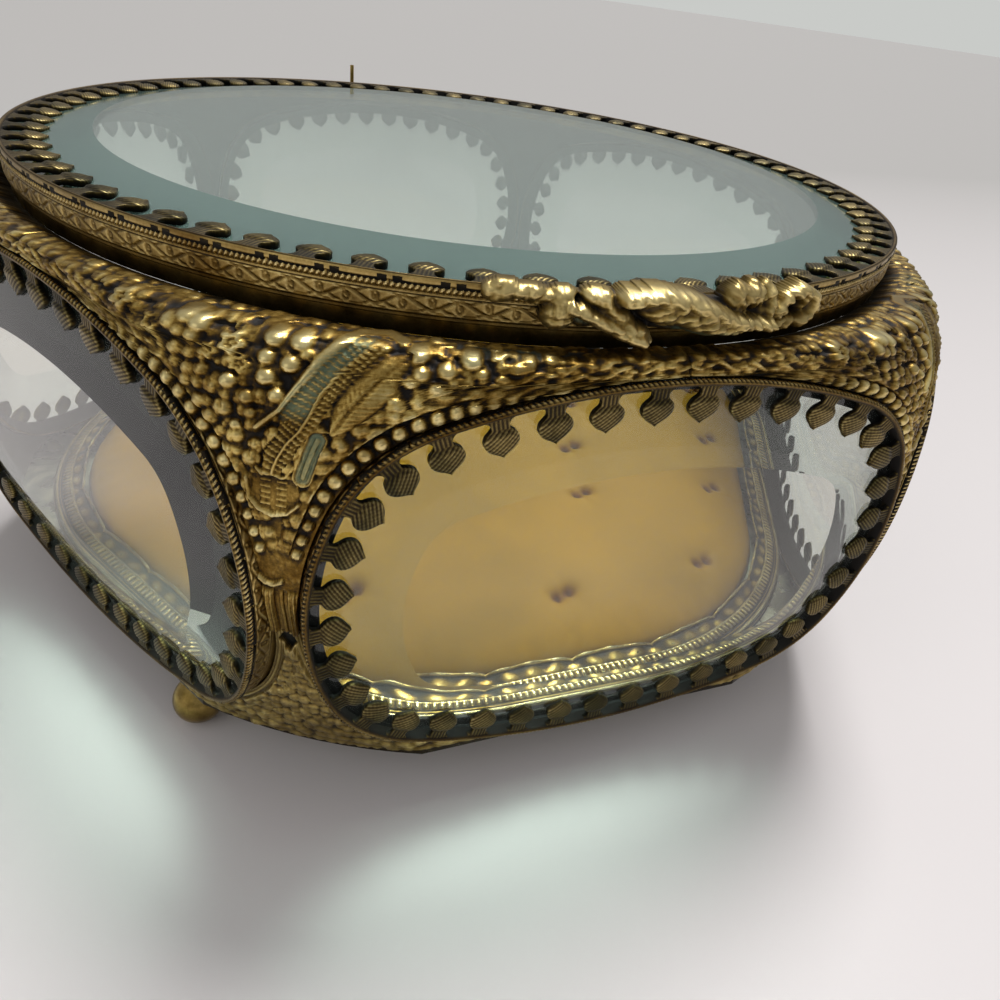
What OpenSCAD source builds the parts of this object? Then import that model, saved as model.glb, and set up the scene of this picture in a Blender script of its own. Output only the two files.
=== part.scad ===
/* [Body] */
// Distance from the axis to the outer face of the side prongs
panel_face = 88.1; // [85:0.1:92]
// Height of the middle of the side panels
panel_mid_z = 43.9; // [43.9:0.1:44.4]
// Half the width of a side panel, over its strip
panel_half_w = 46.8; // [44:0.1:46.8]
// Half the height of a side panel, over its strip
panel_half_h = 32.5; // [31:0.1:32.5]
// Depth of the gallery strip that wraps a side glass
strip_depth = 6.8; // [6:0.1:6.8]
// Thickness of the gallery strip's metal
strip_t = 0.9; // [0.7:0.1:1]
// Number of prongs round a side panel
panel_prongs = 37; // [30:1:40]

/* [Prongs] */
// Distance from the strip's outer face to the middle of a prong's head
prong_reach = 4; // [3.6:0.1:4.4]
// Width of a prong's stem
stem_w = 2.4; // [2:0.1:3]
// Radius of each of the two side lobes of a head
lobe_r = 1.3; // [1.1:0.1:1.5]
// Thickness of a prong
prong_t = 0.8; // [0.6:0.1:0.8]

/* [Glass] */
// Thickness of the bevelled glass in the middle
glass_t = 4; // [3.6:0.1:4]
// Thickness of the glass at its edge
glass_edge_t = 1.9; // [1.6:0.1:1.9]
// Width of the bevel
bevel_w = 12.7; // [10:0.1:14]

/* [Lid] */
// Outer radius of the lid's rim
rim_r = 82; // [81.8:0.1:82.2]
// Height of the lid rim's lower edge above the table
rim_z = 77.2; // [77.2:0.1:77.5]
// Height of the lid's rim, without the prongs
rim_h = 5; // [5:0.1:5.2]
// Number of prongs round the lid
lid_prongs = 71; // [60:1:74]

/* [Base and feet] */
// Height of the base pan's upper face above the table
pan_z = 11.4; // [11:0.1:11.4]
// Thickness of the base pan
pan_t = 1.2; // [1:0.1:1.4]
// Diameter of a ball foot
ball_d = 8.4; // [8:0.1:8.4]
// Distance from the axis to a ball foot
foot_r = 87; // [84:0.1:87]

/* [Cushion] */
// Distance from the axis to the middle of each side of the cushion
cushion_r = 74.8; // [72:0.1:74.8]
// Height of the cushion's crown above its card
cushion_h = 6.5; // [4:0.5:8]
// Depth of a tuft
tuft_depth = 1.6; // [0.5:0.1:2]

/* [Hinge] */
// Height of the hinge's axis above the table
hinge_z = 78.2; // [78.1:0.1:78.4]
// Distance from the box's axis back to the hinge's axis
hinge_y = 84.7; // [84.6:0.1:85]
// Diameter of the hinge pin
pin_d = 1; // [0.8:0.1:1]
// Length of the hinge's barrel
barrel_l = 14; // [12:0.5:16]

/* [Hidden] */

sides = 6;
side_step = 360 / sides;
gold = "#a8843c";
old_gold = "#7d642f";
bronze = "#5b5140";
satin_gold = "#c08f34";
pale_glass = [0.75, 0.86, 0.84, 0.35];
fit_gap = 0.2;

// A side panel's outline is four pairs of arcs that meet in tangents.
top_turn = 17;
side_turn = 24;
corner_r = 21;
// The two large radii follow from the half width and the half height.
arc_a = sin(top_turn);
arc_b = 1 - cos(side_turn);
arc_c = 1 - cos(top_turn);
arc_d = sin(side_turn);
rest_w = panel_half_w - corner_r * (cos(side_turn) - sin(top_turn));
rest_h = panel_half_h - corner_r * (cos(top_turn) - sin(side_turn));
arc_det = arc_a * arc_d - arc_b * arc_c;
top_r = (rest_w * arc_d - rest_h * arc_b) / arc_det;
side_r = (rest_h * arc_a - rest_w * arc_c) / arc_det;
// Lengths of the arcs in a quarter of the outline, from the middle of the top
top_len = top_r * top_turn * PI / 180;
corner_len = corner_r * (90 - top_turn - side_turn) * PI / 180;
side_len = side_r * side_turn * PI / 180;
quarter_len = top_len + corner_len + side_len;

// Turn of the outline's normal away from the top, s millimetres round a quarter
function quarter_turn(s) =
    s < top_len ? s / top_r * 180 / PI :
    s < top_len + corner_len ? top_turn + (s - top_len) / corner_r * 180 / PI :
    90 - side_turn + (s - top_len - corner_len) / side_r * 180 / PI;
// Point of a quarter whose normal has turned by a, moved out by d
function quarter_point(a, d) =
    let (
        n = [sin(a), cos(a)],
        corner_at = [(top_r - corner_r) * sin(top_turn), panel_half_h - top_r + (top_r - corner_r) * cos(top_turn)]
    )
    a < top_turn ? [0, panel_half_h - top_r] + (top_r + d) * n :
    a < 90 - side_turn ? corner_at + (corner_r + d) * n :
    [panel_half_w - side_r, 0] + (side_r + d) * n;
// Quarters 1 and 3 run backwards, so that the outline stays one loop
function loop_turn(s) =
    let (q = floor(s / quarter_len) % 4, r = s - floor(s / quarter_len) * quarter_len)
    q == 0 ? quarter_turn(r) : q == 1 ? 180 - quarter_turn(quarter_len - r) :
    q == 2 ? 180 + quarter_turn(r) : 360 - quarter_turn(quarter_len - r);
function loop_point(s, d = 0) =
    let (
        q = floor(s / quarter_len) % 4,
        r = s - floor(s / quarter_len) * quarter_len,
        p = quarter_point(quarter_turn(q % 2 == 0 ? r : quarter_len - r), d)
    )
    q == 0 ? p : q == 1 ? [p[0], -p[1]] : q == 2 ? [-p[0], -p[1]] : [-p[0], p[1]];

outline_steps = 64;
module panel_outline(d = 0) {
    polygon([for (i = [0 : outline_steps - 1]) loop_point(i * 4 * quarter_len / outline_steps, d)]);
}

// One prong seen flat, its root at the origin and its head along -Y
module prong_flat(reach) {
    translate([-stem_w / 2, -reach]) square([stem_w, reach]);
    for (side = [-1, 1]) translate([side * lobe_r, -reach + 0.3]) circle(r = lobe_r, $fn = 24);
    translate([0, -reach - 0.9]) rotate(45) square(1.9, center = true);
}

// Stands a flat drawing in the plane of side panel k, its front at depth y_front
module on_side(k, y_front) {
    rotate([0, 0, (k - 1) * side_step])
        translate([0, -y_front, panel_mid_z]) rotate([90, 0, 0]) children();
}

module side_bezel(k) {
    back = panel_face - strip_depth;
    lip_y = panel_face + 0.3 - glass_t;
    color(bronze) {
        // strip round the glass
        on_side(k, back) linear_extrude(strip_depth)
            difference() {
                panel_outline();
                panel_outline(-strip_t);
            }
        // prongs bent over the bevel
        on_side(k, panel_face - prong_t) linear_extrude(prong_t)
            intersection() {
                panel_outline();
                union() {
                    difference() {
                        panel_outline();
                        panel_outline(-strip_t - 0.4);
                    }
                    for (i = [0 : panel_prongs - 1]) {
                        s = (i + 0.5) * 4 * quarter_len / panel_prongs;
                        translate(loop_point(s)) rotate(-loop_turn(s)) prong_flat(prong_reach);
                    }
                }
            }
        // turned-in edge behind the glass
        on_side(k, lip_y - 0.9) linear_extrude(0.9)
            difference() {
                panel_outline(-strip_t + 0.1);
                panel_outline(-strip_t - 1.8);
            }
    }
}

module side_glass(k) {
    edge = -strip_t - fit_gap;
    back = panel_face + 0.3 - glass_t;
    color(pale_glass)
        on_side(k, back)
            hull() {
                linear_extrude(glass_edge_t) panel_outline(edge);
                linear_extrude(glass_t) panel_outline(edge - bevel_w);
            }
}

// Barrel-shaped body surface that the spandrels are cut from
barrel_waist_r = 96;
barrel_top_r = 83.4;
barrel_foot_r = 91.5;
wall_t = 1.2;
body_top_z = panel_mid_z + panel_half_h;
// The ring and the spandrels meet at the radius of the strips' back edges.
mouth_r = panel_face - strip_depth;
function barrel_upper(z, in) =
    barrel_top_r + (barrel_waist_r - barrel_top_r) * sqrt(max(0, 1 - pow((z - panel_mid_z) / panel_half_h, 2))) - in;
module barrel_profile(in) {
    steps = 8;
    low = in > 0 ? pan_z - 1 : pan_z;
    polygon(concat(
        [[0, low], [barrel_foot_r - in, low]],
        [for (i = [0 : steps])
            let (z = panel_mid_z + panel_half_h * sin(i * 90 / steps)) [barrel_upper(z, in), z]],
        [[0, body_top_z]]));
}
module barrel_solid(in) {
    intersection() {
        rotate_extrude($fn = 96) barrel_profile(in);
        translate([0, 0, pan_z - 1]) linear_extrude(panel_half_h * 2 + 1) hexagon(panel_face - 0.9 - in);
    }
}
module hexagon(inradius) {
    polygon([for (k = [0 : sides - 1])
        inradius / cos(180 / sides) * [sin(k * side_step + side_step / 2), cos(k * side_step + side_step / 2)]]);
}
// The part of the barrel's wall between the strips of panels k and k + 1
module spandrel(k, z_low, z_high) {
    difference() {
        intersection() {
            barrel_solid(0);
            rotate([0, 0, (k - 0.5) * side_step]) translate([0, 0, z_low])
                linear_extrude(z_high - z_low) polygon([[0, 0], [-69, -120], [69, -120]]);
        }
        translate([0, 0, -1]) cylinder(r = mouth_r, h = body_top_z + 2, $fn = 96);
        intersection() {
            barrel_solid(wall_t);
            cylinder(r = 120, h = body_top_z - wall_t, $fn = 48);
        }
        for (j = [k, k + 1]) on_side(j, 60) linear_extrude(60) panel_outline(0.05);
    }
}
// A small open diamond is left where the two castings meet, a little below the waist.
split_z = 36.6;
split_half = 1.6;
module upper_spandrel(k) {
    color(gold) spandrel(k, split_z + split_half, body_top_z);
}
module lower_spandrel(k) {
    color(old_gold) spandrel(k, pan_z, split_z - split_half);
}

module base_pan() {
    color("#8d8a80")
        translate([0, 0, pan_z - pan_t]) intersection() {
            linear_extrude(pan_t) hexagon(panel_face - 1.4);
            cylinder(r = barrel_foot_r, h = pan_t, $fn = 96);
        }
}

// Distance from the axis to a hexagon with rounded corners: at is the azimuth from a
// side's middle, a the distance to the middle of a side
round_c = 24.6;
function round_hex(at, a) =
    let (phi = abs(at - side_step * round(at / side_step)))
    a * tan(phi) < round_c * sin(30) ? a / cos(phi) :
    round_c * cos(30 - phi) + sqrt(pow(a - round_c * cos(30), 2) - pow(round_c * sin(30 - phi), 2));

gallery_out = 81.2;
gallery_in = 75.6;
scallops = 30;
scallop_depth = 0.8;
gallery_stations = 150;
// Stamped strip round the pan, its inner edge scalloped: [distance in, height above the pan]
module base_gallery() {
    profile = [[0, 0], [0, 1.2], [1.8, 2.4], [gallery_out - gallery_in, 3.8],
        [gallery_out - gallery_in, 3], [3.2, 1.9], [3.2, 0]];
    n = len(profile);
    points = [for (i = [0 : gallery_stations - 1]) for (j = [0 : n - 1])
        let (
            at = i * 360 / gallery_stations,
            inner = j == 3 || j == 4,
            r = round_hex(at, gallery_out) - profile[j][0] + (inner ? scallop_depth * cos(at * scallops) : 0)
        )
        [r * sin(at), -r * cos(at), pan_z + profile[j][1]]];
    faces = [for (i = [0 : gallery_stations - 1]) for (j = [0 : n - 1]) for (half = [0, 1])
        let (
            a = i * n + j,
            b = i * n + (j + 1) % n,
            c = ((i + 1) % gallery_stations) * n + (j + 1) % n,
            d = ((i + 1) % gallery_stations) * n + j
        )
        half == 0 ? [a, b, c] : [a, c, d]];
    color(gold) polyhedron(points, faces, convexity = 6);
}

card_t = 1;
module cushion_card() {
    color("#8f8672") translate([0, 0, pan_z]) linear_extrude(card_t)
        polygon([for (i = [0 : 71]) let (r = round_hex(i * 5, cushion_r)) [r * sin(i * 5), -r * cos(i * 5)]]);
}

// Tufts, placed by hand: the front right ones as the photo shows them
tufts = [[4, -62], [38, -58], [56, -34], [64, -15], [22, -32], [28, -17],
    [-22, -20], [-56, -26], [-30, -56], [-50, 14], [-12, 16], [28, 22], [62, 20],
    [-34, 46], [4, 48], [42, 48]];
tuft_spread = 5;
function tuft_dip(p) = tuft_depth * max([for (t = tufts) exp(-pow(norm(p - t) / tuft_spread, 2))]);
// Height of the pad above its card: flat crown, edge drawn down, dips at the tufts
function pad_top(p) =
    let (u = min(1, norm(p) / round_hex(atan2(p[0], -p[1]), cushion_r))) cushion_h * pow(1 - pow(u, 6), 0.5) - tuft_dip(p);
cushion_rings = 14;
cushion_spokes = 40;
module cushion() {
    base_z = pan_z + card_t + 0.05;
    function spoke(i, d) =
        let (at = i * 360 / cushion_spokes, r = round_hex(at, cushion_r) - d) r * [sin(at), -cos(at)];
    top = [for (j = [0 : cushion_rings - 1]) for (i = [0 : cushion_spokes - 1])
        let (p = (0.985 - 0.985 * pow(j / cushion_rings, 1.3)) * spoke(i, 0))
        [p[0], p[1], base_z + max(0.8, pad_top(p))]];
    foot = [for (i = [0 : cushion_spokes - 1]) let (p = spoke(i, 2.5)) [p[0], p[1], base_z]];
    n = cushion_spokes;
    apex = len(top);
    points = concat(top, [[0, 0, base_z + pad_top([0, 0])]], foot, [[0, 0, base_z]]);
    low = apex + 1;
    faces = concat(
        [for (j = [0 : cushion_rings - 2]) for (i = [0 : n - 1])
            [j * n + i, (j + 1) * n + i, (j + 1) * n + (i + 1) % n]],
        [for (j = [0 : cushion_rings - 2]) for (i = [0 : n - 1])
            [j * n + i, (j + 1) * n + (i + 1) % n, j * n + (i + 1) % n]],
        [for (i = [0 : n - 1]) [(cushion_rings - 1) * n + i, apex, (cushion_rings - 1) * n + (i + 1) % n]],
        [for (i = [0 : n - 1]) [low + i, i, (i + 1) % n]],
        [for (i = [0 : n - 1]) [low + i, (i + 1) % n, low + (i + 1) % n]],
        [for (i = [0 : n - 1]) [low + i, low + (i + 1) % n, low + n]]);
    color(satin_gold) polyhedron(points, faces, convexity = 4);
}

// Flat ring that ties the strips together, with a raised seat for the lid
ring_in = 77;
seat_in = 79.2;
module top_ring() {
    seat_z = rim_z - 0.05;
    color(old_gold)
        rotate_extrude($fn = 96)
            polygon([[ring_in, body_top_z - 1.4], [mouth_r, body_top_z - 1.4], [mouth_r, seat_z],
                [seat_in, seat_z], [seat_in, body_top_z], [ring_in, body_top_z]]);
}

foot_neck_d = 3.6;
foot_washer_d = 5;
module foot(angle) {
    centre_z = ball_d / 2 - 0.3;
    color(bronze) rotate([0, 0, angle]) translate([0, -foot_r, 0])
        union() {
            intersection() {
                translate([0, 0, centre_z]) sphere(d = ball_d, $fn = 48);
                cylinder(r = ball_d, h = ball_d, $fn = 32);
            }
            translate([0, 0, centre_z]) cylinder(d = foot_neck_d, h = pan_z - pan_t - centre_z, $fn = 32);
            translate([0, 0, pan_z - pan_t - 0.8]) cylinder(d = foot_washer_d, h = 0.8, $fn = 32);
        }
}

// Hinge
knuckle_r = 1.5;
leaf_t = 0.5;
lid_knuckle_half = 2.2;
knuckle_gap = 0.25;
// A round bar along the hinge's axis from x to x + l
module on_axis(x, r, l) {
    translate([x, hinge_y, hinge_z]) rotate([0, 90, 0]) cylinder(r = r, h = l, $fn = 32);
}
module hinge_leaf_body() {
    leaf_z = body_top_z;
    knuckle_l = barrel_l / 2 - lid_knuckle_half - knuckle_gap;
    color(old_gold) difference() {
        union() {
            translate([-barrel_l / 2, hinge_y - 2, leaf_z]) cube([barrel_l, 5, leaf_t]);
            for (x = [-barrel_l / 2, barrel_l / 2 - knuckle_l]) {
                translate([x, hinge_y - 0.7, leaf_z]) cube([knuckle_l, 1.4, hinge_z - leaf_z]);
                on_axis(x, knuckle_r, knuckle_l);
            }
        }
        on_axis(-barrel_l, pin_d / 2 + 0.05, 2 * barrel_l);
        // room for the lid's knuckle to turn
        on_axis(-lid_knuckle_half - knuckle_gap, knuckle_r + 0.1, 2 * (lid_knuckle_half + knuckle_gap));
    }
}
leaf_half_angle = 10.8;
module hinge_leaf_lid() {
    web_y = rim_r + 0.3;
    color(old_gold) difference() {
        union() {
            rotate([0, 0, 90 - leaf_half_angle])
                rotate_extrude(angle = 2 * leaf_half_angle, $fn = 96)
                    translate([rim_r + 0.02, rim_z + 0.4]) square([leaf_t, rim_h - 0.8]);
            on_axis(-lid_knuckle_half, knuckle_r, 2 * lid_knuckle_half);
            translate([-lid_knuckle_half, web_y, hinge_z])
                cube([2 * lid_knuckle_half, hinge_y - web_y, knuckle_r]);
        }
        on_axis(-barrel_l, pin_d / 2 + 0.02, 2 * barrel_l);
    }
}
pin_top_z = 86;
module hinge_pin() {
    bend_x = -barrel_l / 2 - 0.9;
    color(bronze) {
        on_axis(bend_x, pin_d / 2, barrel_l + 1.5);
        translate([bend_x, hinge_y, hinge_z]) sphere(d = pin_d, $fn = 32);
        translate([bend_x, hinge_y, hinge_z]) cylinder(d = pin_d, h = pin_top_z - hinge_z, $fn = 32);
    }
}

// Lid
lid_prong_reach = 5.2;
frame_in = 77.4;
lid_glass_r = rim_r - strip_t - fit_gap;
prong_top_z = rim_z + rim_h;
glass_top_z = prong_top_z + 0.2;
glass_low_z = glass_top_z - glass_t;
module lid_frame() {
    color(gold)
        rotate_extrude($fn = 96)
            polygon([[frame_in, rim_z], [rim_r - strip_t - 0.02, rim_z],
                [rim_r - strip_t - 0.02, glass_low_z], [frame_in, glass_low_z]]);
}
module lid_rim() {
    color(bronze) {
        translate([0, 0, rim_z]) difference() {
            cylinder(r = rim_r, h = rim_h, $fn = 96);
            translate([0, 0, -1]) cylinder(r = rim_r - strip_t, h = rim_h + 2, $fn = 96);
        }
        translate([0, 0, prong_top_z - prong_t]) linear_extrude(prong_t) {
            difference() {
                circle(r = rim_r, $fn = 96);
                circle(r = rim_r - strip_t - 0.4, $fn = 96);
            }
            for (i = [0 : lid_prongs - 1])
                rotate(178.2 + i * 360 / lid_prongs) translate([0, rim_r - 0.2]) prong_flat(lid_prong_reach);
        }
    }
}
module lid_glass() {
    color(pale_glass)
        rotate_extrude($fn = 96)
            polygon([[0, glass_low_z], [lid_glass_r, glass_low_z], [lid_glass_r, glass_low_z + glass_edge_t],
                [lid_glass_r - bevel_w, glass_top_z], [0, glass_top_z]]);
}
// Cast thumb piece: a bar that follows the rim, with rounded knobs and leaves on it
clasp_left = 15.6;
clasp_right = 12.6;
// Each knob: angle from the middle, height above the rim's lower edge, distance out, radius
clasp_knobs = [[-15.2, 5.6, 1.8, 1.7], [-13, 5, 2, 1.8], [-11.2, 2.8, 3, 2], [-8.8, 3.4, 3, 2], [-7.6, 5, 2, 1.7],
    [-5, 1.9, 3, 1.8], [-3.6, 4.2, 3, 2.5], [-0.8, 3.6, 3.2, 3], [1.8, 4.6, 2.6, 2.3], [4, 4.6, 2.4, 2.4],
    [4.4, 1.8, 2.8, 1.8], [7, 4.4, 2.2, 2], [8.6, 2, 2.6, 1.9], [10.2, 4.6, 1.8, 1.8], [12, 2.6, 2, 1.9]];
module clasp() {
    inner = rim_r + 0.02;
    color(gold) difference() {
        union() {
            rotate([0, 0, -90 - clasp_left]) rotate_extrude(angle = clasp_left + clasp_right, $fn = 96)
                polygon([[inner - 0.5, rim_z + 0.3], [inner + 2, rim_z + 0.2], [inner + 3, rim_z + 2],
                    [inner + 2.4, rim_z + 4.4], [inner + 1, rim_z + 6], [inner - 0.5, rim_z + 5.6]]);
            for (c = clasp_knobs)
                rotate([0, 0, c[0]]) translate([0, -inner - c[2], rim_z + c[1]]) sphere(r = c[3], $fn = 24);
        }
        translate([0, 0, rim_z - 2 * rim_h]) cylinder(r = inner, h = 4 * rim_h, $fn = 96);
    }
}

base_pan();
base_gallery();
cushion_card();
cushion();
top_ring();
for (k = [1 : sides]) {
    side_bezel(k);
    side_glass(k);
    upper_spandrel(k);
    lower_spandrel(k);
}
foot(-45);  // foot_front_left
foot(45);  // foot_front_right
foot(135);  // foot_back_right
foot(-135);  // foot_back_left
hinge_leaf_body();
hinge_leaf_lid();
hinge_pin();
lid_frame();
lid_rim();
lid_glass();
clasp();
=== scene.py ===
import math

import bpy
import numpy as np
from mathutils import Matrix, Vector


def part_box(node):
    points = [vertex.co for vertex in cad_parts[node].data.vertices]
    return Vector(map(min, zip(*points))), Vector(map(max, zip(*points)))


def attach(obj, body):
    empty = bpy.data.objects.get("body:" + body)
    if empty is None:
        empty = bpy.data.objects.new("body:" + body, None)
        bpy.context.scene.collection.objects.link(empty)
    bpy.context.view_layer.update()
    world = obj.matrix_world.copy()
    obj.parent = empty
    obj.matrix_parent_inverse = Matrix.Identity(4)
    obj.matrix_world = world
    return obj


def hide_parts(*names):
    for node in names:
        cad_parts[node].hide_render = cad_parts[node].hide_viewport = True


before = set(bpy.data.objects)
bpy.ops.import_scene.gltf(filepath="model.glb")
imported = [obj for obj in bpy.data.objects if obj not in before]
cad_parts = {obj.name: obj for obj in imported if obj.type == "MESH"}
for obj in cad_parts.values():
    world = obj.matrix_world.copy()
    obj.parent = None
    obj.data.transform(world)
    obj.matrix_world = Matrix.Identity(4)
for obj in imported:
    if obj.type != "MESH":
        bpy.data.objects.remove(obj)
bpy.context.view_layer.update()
print("frame loaded")

mm = 0.001
sideCount = 6
sideStep = math.radians(360 / sideCount)


def boxMm(node):
    low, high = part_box(node)
    return np.array(low) / mm, np.array(high) / mm


# Meshes

def gridFaces(rows, cols, closeRows=False, closeCols=False, first=0):
    i = np.arange(rows if closeRows else rows - 1)[:, None]
    j = np.arange(cols if closeCols else cols - 1)[None, :]
    below, right = (i + 1) % rows, (j + 1) % cols
    corners = [i * cols + j, i * cols + right, below * cols + right, below * cols + j]
    return np.stack(corners, -1).reshape(-1, 4) + first


def makePiece(name, parts, body, material, replaces=(), sharp=None, second=None):
    # parts are (points, faces, cavity, patina), faces a list of arrays with one row of corners per face;
    # second is another material and the numbers of the faces that have it
    points, faces, first = [], [], 0
    for part in parts:
        points.append(part[0].reshape(-1, 3))
        faces += [array + first for array in part[1]]
        first += len(points[-1])
    mesh = bpy.data.meshes.new(name)
    mesh.vertices.add(first)
    mesh.vertices.foreach_set("co", (np.concatenate(points) * mm).astype(np.float32).ravel())
    sizes = np.concatenate([np.full(len(f), f.shape[1]) for f in faces])
    mesh.loops.add(int(sizes.sum()))
    mesh.loops.foreach_set("vertex_index", np.concatenate([f.ravel() for f in faces]).astype(np.int32))
    mesh.polygons.add(len(sizes))
    mesh.polygons.foreach_set("loop_start", np.concatenate([[0], np.cumsum(sizes)[:-1]]).astype(np.int32))
    mesh.polygons.foreach_set("use_smooth", np.ones(len(sizes), bool))
    mesh.update(calc_edges=True)
    if sharp:
        mesh.set_sharp_from_angle(angle=math.radians(sharp))
    for column, key in ((2, "cavity"), (3, "patina")):
        values = [np.broadcast_to(part[column], part[0].shape[:-1]).ravel() for part in parts]
        layer = mesh.attributes.new(key, "FLOAT", "POINT")
        layer.data.foreach_set("value", np.concatenate(values).astype(np.float32))
    mesh.materials.append(material)
    if second:
        mesh.materials.append(second[0])
        index = np.zeros(len(sizes), np.int32)
        index[second[1]] = 1
        mesh.polygons.foreach_set("material_index", index)
    piece = bpy.data.objects.new(name, mesh)
    bpy.context.scene.collection.objects.link(piece)
    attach(piece, body)
    if replaces:
        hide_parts(*replaces)
    return piece


def turned(points, angle):
    # points turned about the box's axis, anticlockwise seen from above
    c, s = math.cos(angle), math.sin(angle)
    x, y, z = points[..., 0], points[..., 1], points[..., 2]
    return np.stack([c * x - s * y, s * x + c * y, z], -1)


def roundAxis(radius, azimuth, height):
    # points round the box's axis, azimuth 0 to the front and rising to the right
    return np.stack(np.broadcast_arrays(radius * np.sin(azimuth), -radius * np.cos(azimuth), height), -1)


def smoothStep(low, high, value):
    t = np.clip((value - low) / (high - low), 0, 1)
    return t * t * (3 - 2 * t)


def between(value, start, full, last, end):
    # 0 up to start, 1 from full to last, 0 from end on
    return smoothStep(start, full, value) * smoothStep(end, last, value)


def halfRound(distance, half):
    return np.sqrt(np.clip(1 - (distance / half) ** 2, 0, 1))


def wave(turns):
    return np.cos(2 * math.pi * turns)


def alongLine(x, y, line):
    # distance to a line through given points, and how far along it the nearest place is
    best, place, gone = np.full(x.shape, 1e9), np.zeros(x.shape), 0.0
    for (ax, ay), (bx, by) in zip(line[:-1], line[1:]):
        dx, dy = bx - ax, by - ay
        length = math.hypot(dx, dy)
        t = np.clip(((x - ax) * dx + (y - ay) * dy) / length**2, 0, 1)
        away = np.hypot(x - ax - t * dx, y - ay - t * dy)
        place = np.where(away < best, gone + t * length, place)
        best = np.minimum(best, away)
        gone += length
    return best, place


def blurred(grid, reach):
    # box blur of a height grid, repeated, to tell hollows from ridges
    width = 2 * reach
    for axis in (0, 1, 0, 1):
        size = grid.shape[axis]
        first, last = np.take(grid, [0] * reach, axis), np.take(grid, [-1] * reach, axis)
        padded = np.concatenate([first, grid, last], axis)
        total = np.cumsum(padded, axis)
        grid = (np.take(total, range(width, width + size), axis) - np.take(total, range(size), axis)) / width
    return grid


def cavityOf(height, reach, full):
    # 1 in a hollow, 0 on a ridge, 0.5 on the level; a height difference of full mm counts as all
    return np.clip(0.5 + (blurred(height, reach) - height) / (2 * full), 0, 1)


def pebbles(x, y, cell, seed):
    # small domes, one in each cell, set off at random: the chased ground between the larger forms
    table = np.random.default_rng(seed).random((64, 64, 3))
    height = np.zeros(x.shape)
    for di in (-1, 0, 1):
        for dj in (-1, 0, 1):
            i, j = np.floor(x / cell).astype(int) + di, np.floor(y / cell).astype(int) + dj
            pick = table[i % 64, j % 64]
            cx, cy = (i + 0.2 + 0.6 * pick[..., 0]) * cell, (j + 0.2 + 0.6 * pick[..., 1]) * cell
            radius = cell * (0.44 + 0.3 * pick[..., 2])
            height = np.maximum(height, radius * halfRound(np.hypot(x - cx, y - cy), radius))
    return height


# Materials

def linear(hexColour):
    values = [int(hexColour[i:i + 2], 16) / 255 for i in (1, 3, 5)]
    return [v / 12.92 if v <= 0.04045 else ((v + 0.055) / 1.055) ** 2.4 for v in values] + [1.0]


def addNode(tree, kind, inputs=None, stops=None, **settings):
    # inputs are values or other nodes' outputs, stops the colours or values of a ramp
    node = tree.nodes.new(kind)
    for name, value in settings.items():
        setattr(node, name, value)
    for name, value in (inputs or {}).items():
        if isinstance(value, bpy.types.NodeSocket):
            tree.links.new(value, node.inputs[name])
        else:
            node.inputs[name].default_value = value
    if stops:
        elements = node.color_ramp.elements
        while len(elements) < len(stops):
            elements.new(1.0)
        for element, (position, colour) in zip(elements, stops):
            element.position = position
            element.color = linear(colour) if isinstance(colour, str) else [colour] * 3 + [1]
    return node


def noise(tree, place, sizeMm, settings):
    scale = 1 / (sizeMm * mm)
    return addNode(tree, "ShaderNodeTexNoise", {"Vector": place, "Scale": scale, **settings}).outputs["Fac"]


def ramp(tree, value, stops):
    return addNode(tree, "ShaderNodeValToRGB", {"Fac": value}, stops).outputs["Color"]


def mixed(tree, share, one, two, how="MIX"):
    inputs = {"Fac": share, "Color1": one, "Color2": two}
    return addNode(tree, "ShaderNodeMixRGB", inputs, blend_type=how).outputs["Color"]


def reckon(tree, operation, *values, clamp=False):
    inputs = dict(enumerate(values))
    return addNode(tree, "ShaderNodeMath", inputs, operation=operation, use_clamp=clamp).outputs[0]


def meshValue(tree, key):
    return addNode(tree, "ShaderNodeAttribute", attribute_name=key).outputs["Fac"]


def startMaterial(name):
    # a new material, its nodes and where on the piece a point lies
    material = bpy.data.materials.new(name)
    material.use_nodes = True
    tree = material.node_tree
    tree.nodes.clear()
    return material, tree, addNode(tree, "ShaderNodeTexCoord").outputs["Object"]


def setSurface(tree, shader, kind="ShaderNodeOutputMaterial"):
    tree.links.new(shader.outputs[0], addNode(tree, kind).inputs["Surface"])


def agedMetal(name, look):
    # gilt or bronzed metal, its hollows darkened with grime and painted shade, its ridges paled by rubbing
    # and painted highlight, and some verdigris
    material, tree, place = startMaterial(name)
    patina = meshValue(tree, "patina")
    cloud = noise(tree, place, look["cloudMm"], {"Detail": 4.0, "Roughness": 0.6})
    speck = noise(tree, place, look["speckMm"], {"Detail": 3.0, "Roughness": 0.7})
    # the edge of the hollows' dirt and painted shade is broken up by the specks, as old lacquer and dirt are
    shift = reckon(tree, "SUBTRACT", speck, 0.5)
    depth = reckon(tree, "MULTIPLY_ADD", shift, look["breakUp"], meshValue(tree, "cavity"), clamp=True)
    worn = ramp(tree, cloud, [(0.35, look["cloudDark"]), (0.65, look["cloudLight"])])
    # the colour ramp over the cavity value paints shade into the hollows and highlight onto the ridges,
    # besides their dirt and wear
    metal = mixed(tree, 1.0, ramp(tree, depth, look["colours"]), worn, "MULTIPLY")
    green = reckon(tree, "MULTIPLY_ADD", shift, look["greenSpecks"], patina, clamp=True)
    green = reckon(tree, "MULTIPLY", green, patina, clamp=True)
    green = reckon(tree, "MULTIPLY", green, look["greenest"])
    grain = addNode(tree, "ShaderNodeBump", {"Height": speck, "Strength": look["grain"],
                                            "Distance": look["grainMm"] * mm}).outputs["Normal"]
    setSurface(tree, addNode(tree, "ShaderNodeBsdfPrincipled", {
        "Base Color": mixed(tree, green, metal, linear(look["verdigris"])), "Normal": grain,
        "Metallic": ramp(tree, depth, look["metallic"]), "Roughness": ramp(tree, depth, look["roughness"])}))
    return material
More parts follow.
